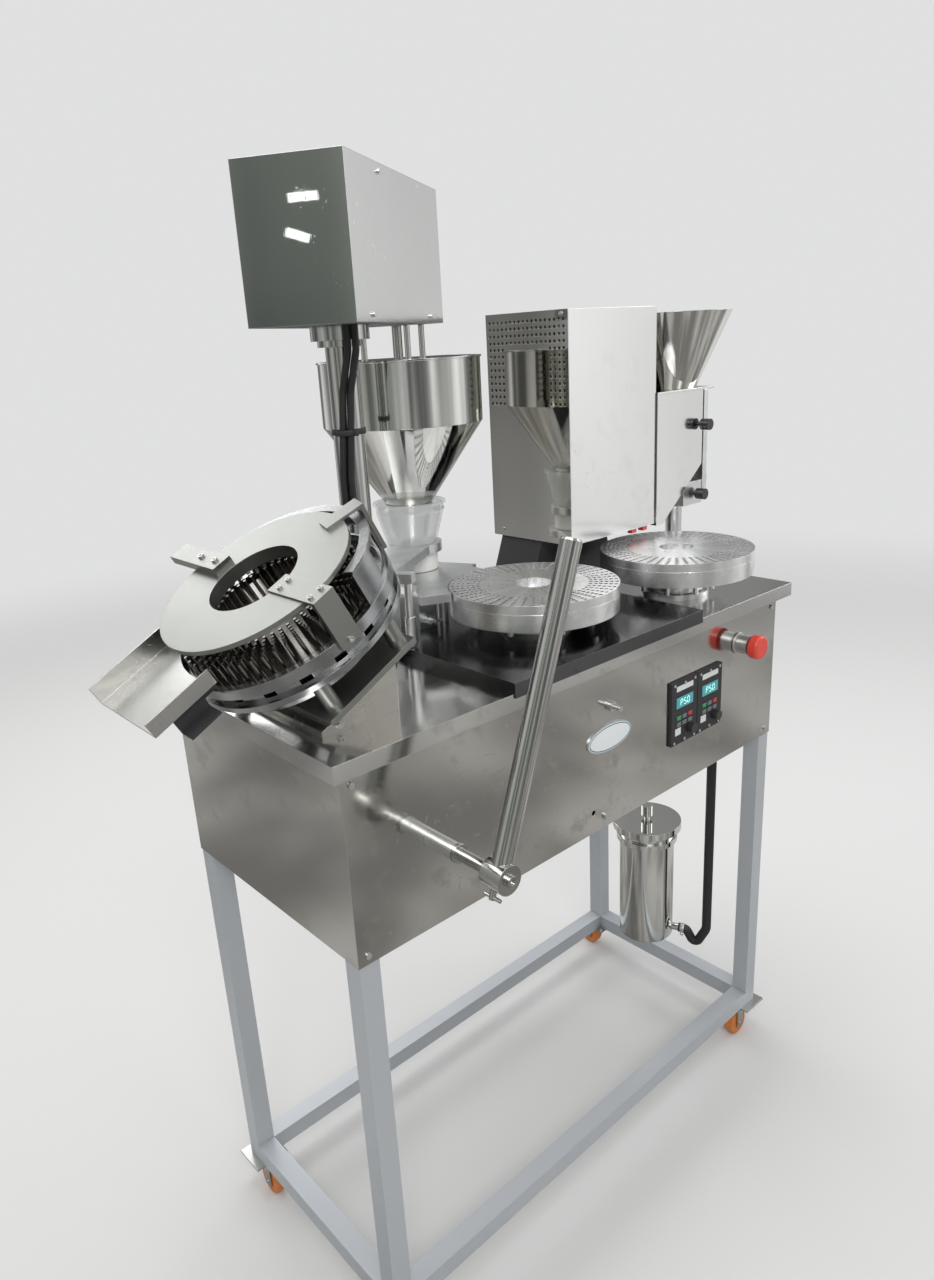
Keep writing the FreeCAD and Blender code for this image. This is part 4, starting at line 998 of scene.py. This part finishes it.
    def wear(self, finish: Finish) -> "Workpiece":
        """Give the piece its first finish.

        Args:
            finish: What it wears.

        Returns:
            The workpiece.
        """
        self.obj.data.materials.clear()
        self.obj.data.materials.append(finish.material())
        return self

    def fit(self, body: str, smooth: float = 32.0) -> bpy.types.Object:
        """Shade the piece, and let it ride on a body.

        Args:
            body: The body's name.
            smooth: Edges sharper than this, in degrees, stay crisp.

        Returns:
            The finished object.
        """
        self._only()
        bpy.ops.object.shade_smooth_by_angle(angle=math.radians(smooth))
        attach(self.obj, body)
        log.info("fitted %s on %s", self.obj.name, body)
        return self.obj


# ------------------------------------------------------------------ sub-assemblies
@dataclass
class NamePlate:
    """The plain enamel on the oval plate of the apron. Sizes in millimetres."""

    x: float = 486.0
    z: float = -135.0
    width: float = 96.0
    height: float = 40.0
    thick: float = 0.7
    base: float = 2.0
    apron_y: float = 18.0
    band: tuple[float, float] = (0.80, 0.965)

    def build(self) -> None:
        """Model the enamelled oval with its raised rim."""
        centre = WORKTOP.at(self.x, self.apron_y - self.base - self.thick / 2, self.z)
        plate = Workpiece.cylinder("name_plate", centre, self.height / 2, self.thick, FRONT, 72)
        plate.stretch((self.width / self.height, 1.0, 1.0), centre)
        plate.inset(facing(FRONT), 1.2)
        plate.inset(facing(FRONT), 3.6)
        plate.inset(facing(FRONT), 1.0, 0.15)
        plate.wear(Finish.ENAMEL)
        inner, outer = self.band
        plate.paint(lambda f: f.normal.y < -0.9 and inner < self._share(f, centre) < outer,
                    Finish.ENAMEL_RIM)
        plate.round_over(0.25, 2).fit("bench")

    def _share(self, face: bpy.types.MeshPolygon, centre: Vector) -> float:
        """How far out on the oval a face's middle is, as a share of the oval's size.

        Args:
            face: The face.
            centre: The oval's middle.

        Returns:
            0 at the middle, 1 at the rim.
        """
        across = (face.center.x - centre.x) / (self.width / 2 * MM)
        up = (face.center.z - centre.z) / (self.height / 2 * MM)
        return math.hypot(across, up)


@dataclass
class DrivePanel:
    """The face of one motor drive: label, window, keys, screws. Sizes in millimetres."""

    number: int
    x: float
    width: float = 68.0
    top: float = -97.0
    bottom: float = -204.0
    pitch: float = 9.0
    segments: tuple[str, ...] = ("1100111", "1011011", "1111110")

    def _front(self) -> float:
        """How far forward the drive's face stands, from its CAD node."""
        low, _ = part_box("drive_bodies")
        return (low.y - WORKTOP.corner[1]) / MM

    def build(self) -> None:
        """Model the film label, key pads, fixing screws and digits."""
        face = self._front()
        middle = self.x + self.width / 2
        self._label(middle, face)
        self._keys(middle, face)
        self._screws(face)
        self._digits(middle)

    def _label(self, middle: float, face: float) -> None:
        """A pale rating film above the window and a small one beside the keys."""
        films = (("label", 0.0, self.top - 12.0, (44.0, 0.5, 9.0)),
                 ("tag", -17.0, self.bottom + 22.0, (15.0, 0.5, 12.0)))
        for kind, across, z, size in films:
            place = WORKTOP.at(middle + across, face - 0.25, z)
            film = Workpiece.slab(f"drive_{self.number}_{kind}", place, size)
            film.inset(facing(FRONT), 0.8, -0.12)
            film.wear(Finish.LABEL).round_over(0.15, 1).fit("bench")

    def _keys(self, middle: float, face: float) -> None:
        """Two rows of domed membrane keys."""
        rows = ((Finish.GREEN_KEY, -15.0, -62.0), (Finish.RED_KEY, 15.0, -62.0),
                (Finish.GREY_KEY, 0.0, -62.0), (Finish.GREY_KEY, -15.0, -73.0),
                (Finish.GREY_KEY, 0.0, -73.0), (Finish.GREY_KEY, 15.0, -73.0))
        for count, (finish, across, down) in enumerate(rows, 1):
            name = f"drive_{self.number}_key_{count}"
            place = WORKTOP.at(middle + across, face - 0.4, self.top + down)
            key = Workpiece.slab(name, place, (11.0, 0.8, 6.6))
            key.inset(facing(FRONT), 1.0, 0.35).inset(facing(FRONT), 1.6, 0.12)
            key.wear(finish).round_over(0.3, 2).fit("bench")

    def _screws(self, face: float) -> None:
        """Recessed screws in the drive's four corners."""
        first = WORKTOP.at(self.x + 7.0, face - 0.6, self.top - 4.5)
        screw = Workpiece.cylinder(f"drive_{self.number}_screws", first, 2.4, 1.2, FRONT, 20)
        screw.inset(facing(FRONT), 0.5).inset(facing(FRONT), 0.5, -0.5)
        across, down = (self.width - 14.0) * MM, (self.bottom - self.top + 9.0) * MM
        screw.copies([Vector((across, 0, 0)), Vector((0, 0, down)), Vector((across, 0, down))])
        screw.wear(Finish.SCREW).round_over(0.15, 1).fit("bench")

    def _digits(self, middle: float) -> None:
        """Seven-bar figures on the window."""
        low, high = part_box("drive_displays")
        y = (low.y - WORKTOP.corner[1]) / MM - 0.15
        z = ((low.z + high.z) / 2 - WORKTOP.corner[2]) / MM
        bars = ((0.0, 5.0, True), (2.6, 2.5, False), (2.6, -2.5, False), (0.0, -5.0, True),
                (-2.6, -2.5, False), (-2.6, 2.5, False), (0.0, 0.0, True))
        start = WORKTOP.at(middle - self.pitch, y, z)
        bar = Workpiece.slab(f"drive_{self.number}_digits", start, (3.6, 0.3, 0.8))
        bar.inset(facing(FRONT), 0.2, 0.05)
        moves = []
        for place, lit in enumerate(self.segments):
            for on, (across, up, flat) in zip(lit, bars):
                modelled = place == 0 and (across, up) == (0.0, 0.0)
                if on == "1" and not modelled:
                    turn = Matrix.Identity(4) if flat else Matrix.Rotation(math.pi / 2, 4, "Y")
                    shift = Matrix.Translation(Vector((place * self.pitch + across, 0.0, up)) * MM)
                    about = Matrix.Translation(start)
                    moves.append(shift @ about @ turn @ about.inverted())
        bar.copies_by(moves)
        bar.wear(Finish.DIGIT).fit("bench")


@dataclass
class EmergencyStop:
    """The retaining ring of the emergency stop. Sizes in millimetres."""

    x: float = 825.0
    z: float = -79.0
    radius: float = 17.0
    wire: float = 2.0
    apron_y: float = 18.0

    def build(self) -> None:
        """Model the round retaining ring behind the red head."""
        centre = WORKTOP.at(self.x, self.apron_y - 2.0, self.z)
        ring = Workpiece.torus("estop_ring", centre, self.radius, self.wire, FRONT, 64, 10)
        ring.wear(Finish.SCREW).fit("bench", 60.0)


@dataclass
class VentShadeSheet:
    """A dark sheet behind the loader's vents, painted shade that stands in for the shade inside them. Sizes
    in bench millimetres.
    """

    x: float = 629.5
    low: tuple[float, float] = (213.0, 300.0)
    high: tuple[float, float] = (386.0, 462.0)

    def build(self) -> None:
        """Model a thin dark sheet with a sunk face just inside the pierced wall, as painted shade for the
        vents.
        """
        middle = WORKTOP.at(self.x, (self.low[0] + self.high[0]) / 2, (self.low[1] + self.high[1]) / 2)
        screen = Workpiece.slab("vent_screen", middle, (0.8, self.high[0] - self.low[0],
                                                       self.high[1] - self.low[1]))
        screen.inset(facing(Vector((-1.0, 0.0, 0.0))), 2.5, -0.2)
        screen.wear(Finish.BLACK_PAINT).round_over(0.2, 1).fit("bench")


@dataclass
class CableTie:
    """The snug tie that holds the two cables to the column. Sizes in millimetres."""

    height: float = 322.5
    wide: float = 7.5
    column: float = 21.6
    cables_out: float = 34.0
    cables_half: float = 11.0
    thick: float = 1.2
    ratchet: Triple = (7.0, 5.5, 8.5)
    ratchet_out: float = 31.0
    ratchet_aside: float = 13.5
    toward: Triple = (-0.66, -0.75, 0.0)

    def build(self) -> None:
        """Model the strap round the column and over the cables, with its ratchet head."""
        toward = Vector(self.toward).normalized()
        side = UPRIGHT.cross(toward)
        middle = COLUMN_FOOT + UPRIGHT * self.height * MM
        strap = Workpiece.cylinder("cable_strap", middle, self.column, self.wide, UPRIGHT, 64)
        half = self.cables_half * MM

        def over_cables(face: bpy.types.MeshPolygon) -> bool:
            """Whether a face lies in front of the cables."""
            away = face.center - middle
            return away.dot(toward) > 0 and abs(away.dot(side)) < half and abs(face.normal.z) < 0.1

        strap._edit(over_cables)
        bpy.ops.transform.translate(value=toward * (self.cables_out - self.column) * MM)
        strap._close()
        strap.drop(lambda f: abs(f.normal.z) > 0.9)
        strap.thicken(self.thick)
        place = middle + toward * self.ratchet_out * MM + side * self.ratchet_aside * MM
        head = Workpiece.slab("cable_strap_head", place, self.ratchet, math.atan2(toward.y, toward.x))
        head.inset(facing(UPRIGHT), 1.2, -1.5).inset(facing(-UPRIGHT), 1.2, -1.5)
        head.wear(Finish.BLACK_PLASTIC).round_over(0.6, 2).fit("filler_head")
        strap.wear(Finish.BLACK_PLASTIC).round_over(0.3, 1)
        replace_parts(strap.fit("filler_head", 50.0), "cable_tie")


@dataclass
class FrameWelds:
    """Weld beads where the frame's tubes meet. Sizes in millimetres."""

    left: float = 18.0
    right: float = 942.0
    front: float = 18.0
    back: float = 425.5
    rail: float = -872.6
    tube: float = 30.0
    bead: float = 2.2
    cuts: int = 14
    ripple: float = 0.45

    def build(self) -> None:
        """Model a rough bead in every lower corner."""
        places = []
        half = self.tube / 2
        z = self.rail + self.tube
        for x, inward in ((self.left, 1), (self.right, -1)):
            for y, deep in ((self.front, 1), (self.back, -1)):
                places.append((x + inward * self.tube, y + deep * half, z, inward, 0))
                places.append((x + inward * half, y + deep * self.tube, z, 0, deep))
        for count, (x, y, z, along, deep) in enumerate(places, 1):
            direction = Vector((abs(deep), abs(along), 0.0))
            corner = WORKTOP.at(x, y, z)
            bead = Workpiece.cylinder(f"weld_{count}", corner, self.bead, self.tube - 3.0, direction, 12)
            bead._edit(lambda f: abs(f.normal.dot(direction)) < 0.5)
            bpy.ops.mesh.subdivide(number_cuts=self.cuts, quadcorner="INNERVERT")
            bpy.ops.mesh.select_all(action="SELECT")
            bpy.ops.transform.vertex_random(offset=self.ripple * MM, seed=count)
            bead._close()
            bead.wear(Finish.FRAME_PAINT).fit("bench", 60.0)


@dataclass
class HoseBand:
    """A worm-drive band round the tank's hose. Sizes in millimetres."""

    name: str
    centre: Triple
    direction: Triple
    radius: float = 9.6
    width: float = 8.0
    housing: tuple[float, float] = (3.2, 11.0)

    def build(self) -> None:
        """Model the band and its screw housing."""
        way = Vector(self.direction).normalized()
        middle = WORKTOP.at(*self.centre)
        band = Workpiece.cylinder(self.name, middle, self.radius, self.width, way, 48)
        band.inset(facing(way), 0.9).inset(facing(-way), 0.9)
        band.inset(lambda f: abs(f.normal.dot(way)) < 0.2, 0.3, 0.15)
        side = way.orthogonal().normalized()
        across = way.cross(side)
        place = middle + side * (self.radius + 2.0) * MM
        box = Workpiece.cylinder(self.name + "_screw", place, *self.housing, across, 12)
        box.inset(facing(across), 0.8).inset(facing(across), 0.5, -1.2)
        box.wear(Finish.SCREW).round_over(0.3, 2).fit("bench")
        band.wear(Finish.SCREW).round_over(0.2, 1).fit("bench")


# ------------------------------------------------------------------ studio
@dataclass
class Softbox:
    """One soft studio light."""

    name: str
    place: Triple
    aim: Triple
    size: tuple[float, float]
    power: float
    tint: Triple = (1.0, 1.0, 1.0)
    roll: float = 0.0

    def build(self) -> None:
        """Hang the light."""
        lamp = bpy.data.lights.new(self.name, "AREA")
        lamp.shape = "RECTANGLE"
        lamp.size, lamp.size_y = self.size
        lamp.energy = self.power
        lamp.color = self.tint
        obj = bpy.data.objects.new(self.name, lamp)
        obj.location = self.place
        aim = (Vector(self.aim) - Vector(self.place)).to_track_quat("-Z", "Y").to_matrix()
        obj.rotation_euler = (aim @ Matrix.Rotation(math.radians(self.roll), 3, "Z")).to_euler()
        bpy.context.scene.collection.objects.link(obj)


@dataclass(frozen=True)
class Lobe:
    """A soft patch of the mirrored room, from its rim's cosine to its core's."""

    toward: Triple
    rim: float
    core: float
    tint: Triple
    blend: str = "ADD"


@dataclass
class Studio:
    """A pale floor that fades into a pale room, soft lights, and the camera."""

    heights: tuple[tuple[float, float], ...] = ((0.0, 0.40), (0.44, 0.44), (0.50, 0.38), (0.58, 0.40),
                                                (0.72, 0.56), (0.86, 0.80), (1.0, 0.90))
    lobes: tuple[Lobe, ...] = (
        Lobe((-0.92, -0.25, -0.15), 0.60, 0.93, (0.78, 0.82, 0.77), "MULTIPLY"),
        Lobe((0.58, -0.76, -0.20), 0.84, 0.97, (0.34, 0.34, 0.335)),
        Lobe((0.93, 0.25, -0.26), 0.84, 0.98, (0.36, 0.36, 0.355)),
    )

    floor_radius: float = 7.0
    fade_from: float = 2.4
    pale: Triple = (0.745, 0.748, 0.748)
    lens: float = 36.0 * 911.95 / 1280.0
    eye: Triple = (-474.0, -770.4, 428.4)
    right: Triple = (0.73843973, -0.67224772, -0.05281825)
    up: Triple = (0.24727141, 0.1970803, 0.94869184)
    forward: Triple = (0.62734649, 0.71361219, -0.31175956)
    lights: list[Softbox] = field(default_factory=lambda: [
        Softbox("key_light", (-1.6, -2.4, 3.2), (0.0, 0.0, 0.9), (1.6, 1.2), 42.0, (1.0, 0.99, 0.97)),
        Softbox("fill_light", (3.2, -1.0, 2.6), (0.1, 0.0, 0.9), (1.4, 1.8), 24.0, (0.97, 0.985, 1.0)),
        Softbox("top_light", (0.2, 0.6, 3.6), (0.1, 0.1, 0.8), (2.4, 1.6), 40.0),
        Softbox("back_light", (0.6, 3.0, 2.4), (0.0, 0.0, 1.0), (2.4, 1.2), 24.0),
        Softbox("strip_high", (-2.77, -0.40, 1.88), (-0.33, 0.0, 1.52), (0.105, 0.030), 0.022, roll=4.0),
        Softbox("strip_low", (-2.78, -0.37, 1.755), (-0.33, 0.0, 1.50), (0.085, 0.030), 0.016, roll=-17.0),
    ])

    def build(self) -> None:
        """Set the whole studio."""
        self._room()
        self._floor()
        for light in self.lights:
            light.build()
        self._camera()
        bpy.context.scene.view_settings.view_transform = "Standard"

    def _room(self) -> None:
        """A room that is plain and pale to look at, with darker walls for the steel to mirror."""
        world = bpy.data.worlds.new("studio_room")
        bpy.context.scene.world = world
        world.use_nodes = True
        world.node_tree.nodes.clear()
        output = self._wire(world, "ShaderNodeOutputWorld", {}, {})
        seen = self._wire(world, "ShaderNodeBackground", {}, {"Color": (*self.pale, 1.0)})
        place = self._wire(world, "ShaderNodeTexCoord", {}, {}).outputs["Generated"]
        room = self._wire(world, "ShaderNodeBackground", {}, {"Color": self._mirrored(world, place)})
        path = self._wire(world, "ShaderNodeLightPath", {}, {})
        mixer = self._wire(world, "ShaderNodeMixShader", {}, {0: path.outputs["Is Camera Ray"],
                                                              1: room.outputs[0], 2: seen.outputs[0]})
        world.node_tree.links.new(mixer.outputs[0], output.inputs["Surface"])

    def _wire(self, world: bpy.types.World, kind: str, settings: dict, inputs: dict) -> bpy.types.Node:
        """Add a node to the world's tree.

        Args:
            world: The world.
            kind: The node's type.
            settings: Its own settings.
            inputs: Its sockets, by name or number, with values or sockets to link.

        Returns:
            The node.
        """
        made = world.node_tree.nodes.new(kind)
        for key, value in settings.items():
            setattr(made, key, value)
        for key, value in inputs.items():
            if isinstance(value, bpy.types.NodeSocket):
                world.node_tree.links.new(value, made.inputs[key])
            else:
                made.inputs[key].default_value = value
        return made

    def _mirrored(self, world: bpy.types.World, place: bpy.types.NodeSocket) -> bpy.types.NodeSocket:
        """The walls that the steel mirrors: a ramp by height, upright bands, and a few soft lobes.

        Args:
            world: The world.
            place: The direction looked along.

        Returns:
            The colour's socket.
        """
        split = self._wire(world, "ShaderNodeSeparateXYZ", {}, {0: place})
        lift = self._wire(world, "ShaderNodeMath", {"operation": "MULTIPLY_ADD"},
                          {0: split.outputs["Z"], 1: 0.5, 2: 0.5})
        ramp = self._wire(world, "ShaderNodeValToRGB", {}, {0: lift.outputs[0]})
        ends = ramp.color_ramp.elements
        ends[0].position, ends[1].position = self.heights[0][0], self.heights[-1][0]
        ends[0].color = (self.heights[0][1],) * 3 + (1.0,)
        ends[1].color = (self.heights[-1][1],) * 3 + (1.0,)
        for where, value in self.heights[1:-1]:
            ends.new(where).color = (value, value, value, 1.0)
        flat = self._wire(world, "ShaderNodeCombineXYZ", {}, {0: split.outputs["X"], 1: split.outputs["Y"]})
        around = self._wire(world, "ShaderNodeVectorMath", {"operation": "NORMALIZE"}, {0: flat.outputs[0]})
        bands = self._wire(world, "ShaderNodeTexNoise", {}, {"Vector": around.outputs[0], "Scale": 1.9,
                                                             "Detail": 3.0, "Roughness": 0.62})
        cloud = self._wire(world, "ShaderNodeTexNoise", {}, {"Vector": place, "Scale": 1.9, "Detail": 2.5})
        colour = ramp.outputs[0]
        for source, low, high in ((bands, 0.42, 1.75), (cloud, 0.62, 1.38)):
            spread = self._wire(world, "ShaderNodeMapRange", {},
                                {"Value": source.outputs[0], "From Min": 0.38, "From Max": 0.62,
                                 "To Min": low, "To Max": high})
            blend = self._wire(world, "ShaderNodeMix", {"data_type": "RGBA", "blend_type": "MULTIPLY"},
                               {0: 1.0, 6: colour, 7: spread.outputs[0]})
            colour = blend.outputs[2]
        for lobe in self.lobes:
            toward = self._wire(world, "ShaderNodeVectorMath", {"operation": "DOT_PRODUCT"},
                                {0: place, 1: Vector(lobe.toward).normalized()})
            reach = {"Value": toward.outputs["Value"], "From Min": lobe.rim, "From Max": lobe.core}
            share = self._wire(world, "ShaderNodeMapRange", {"interpolation_type": "SMOOTHSTEP"}, reach)
            blend = self._wire(world, "ShaderNodeMix", {"data_type": "RGBA", "blend_type": lobe.blend},
                               {0: share.outputs[0], 6: colour, 7: (*lobe.tint, 1.0)})
            colour = blend.outputs[2]
        return colour

    def _floor(self) -> None:
        """A round floor whose rim fades away, so that it has no horizon. In reflections it shows darker
        patches, a painted reflection of a room's floor.
        """
        bpy.ops.object.select_all(action="DESELECT")
        bpy.ops.mesh.primitive_circle_add(vertices=96, radius=self.floor_radius, fill_type="NGON",
                                          location=(0.0, 0.0, -0.0005))
        floor = bpy.context.active_object
        floor.name = "studio_floor"
        recipe = Recipe("studio_floor")
        reach = recipe.vector("LENGTH", recipe.position(), (0.0, 0.0, 0.0))
        fade = reach.step(self.fade_from, self.floor_radius * 0.8)
        # Painted reflection: glossy rays see a darker, patchy floor, while the camera sees it evenly pale.
        path = recipe.node("ShaderNodeLightPath", {}, {})
        mirrored = Tone(recipe, path.outputs["Is Glossy Ray"])
        reflection_patches = recipe.noise(1.3, 3.0, 0.6).step(0.40, 0.62)
        shade = recipe.mix(reflection_patches, (0.20, 0.195, 0.185), (0.52, 0.51, 0.49))
        recipe.colour(recipe.mix(mirrored, (0.66, 0.66, 0.655), shade))
        recipe.roughness(0.85)
        recipe.feed(recipe.surface.inputs["Alpha"], 1.0 - fade)
        recipe.constant(Specular_IOR_Level=0.1)
        floor.data.materials.append(recipe.material)

    def _camera(self) -> None:
        """Stand the camera where the machine was looked at from."""
        data = bpy.data.cameras.new("view")
        data.sensor_fit = "AUTO"
        data.sensor_width = 36.0
        data.lens = self.lens
        data.clip_start = 0.01
        camera = bpy.data.objects.new("view", data)
        place = WORKTOP.at(*self.eye)
        columns = (Vector(self.right), Vector(self.up), -Vector(self.forward))
        turn = Matrix([[column[row] for column in columns] for row in range(3)]).to_4x4()
        camera.matrix_world = Matrix.Translation(place) @ turn
        bpy.context.scene.collection.objects.link(camera)
        bpy.context.scene.camera = camera


def main() -> None:
    """Build the machine's looks, in order."""
    logging.basicConfig(level=logging.INFO, format="%(name)s: %(message)s")
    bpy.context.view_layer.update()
    Studio().build()
    dress_cad_nodes(frame["nodes"])
    dress_special_faces()
    assemblies = [
        NamePlate(),
        DrivePanel(1, 634.0),
        DrivePanel(2, 704.0),
        EmergencyStop(),
        VentShadeSheet(),
        CableTie(),
        FrameWelds(),
        HoseBand("hose_band_low", (878.4, 150.1, -737.0), (0.388, -0.9216, 0.0)),
        HoseBand("hose_band_high", (897.0, 106.0, -300.6), (0.0, 0.0, 1.0)),
    ]
    for assembly in assemblies:
        assembly.build()
        log.info("built %s", type(assembly).__name__)


if __name__ == "__main__":
    main()
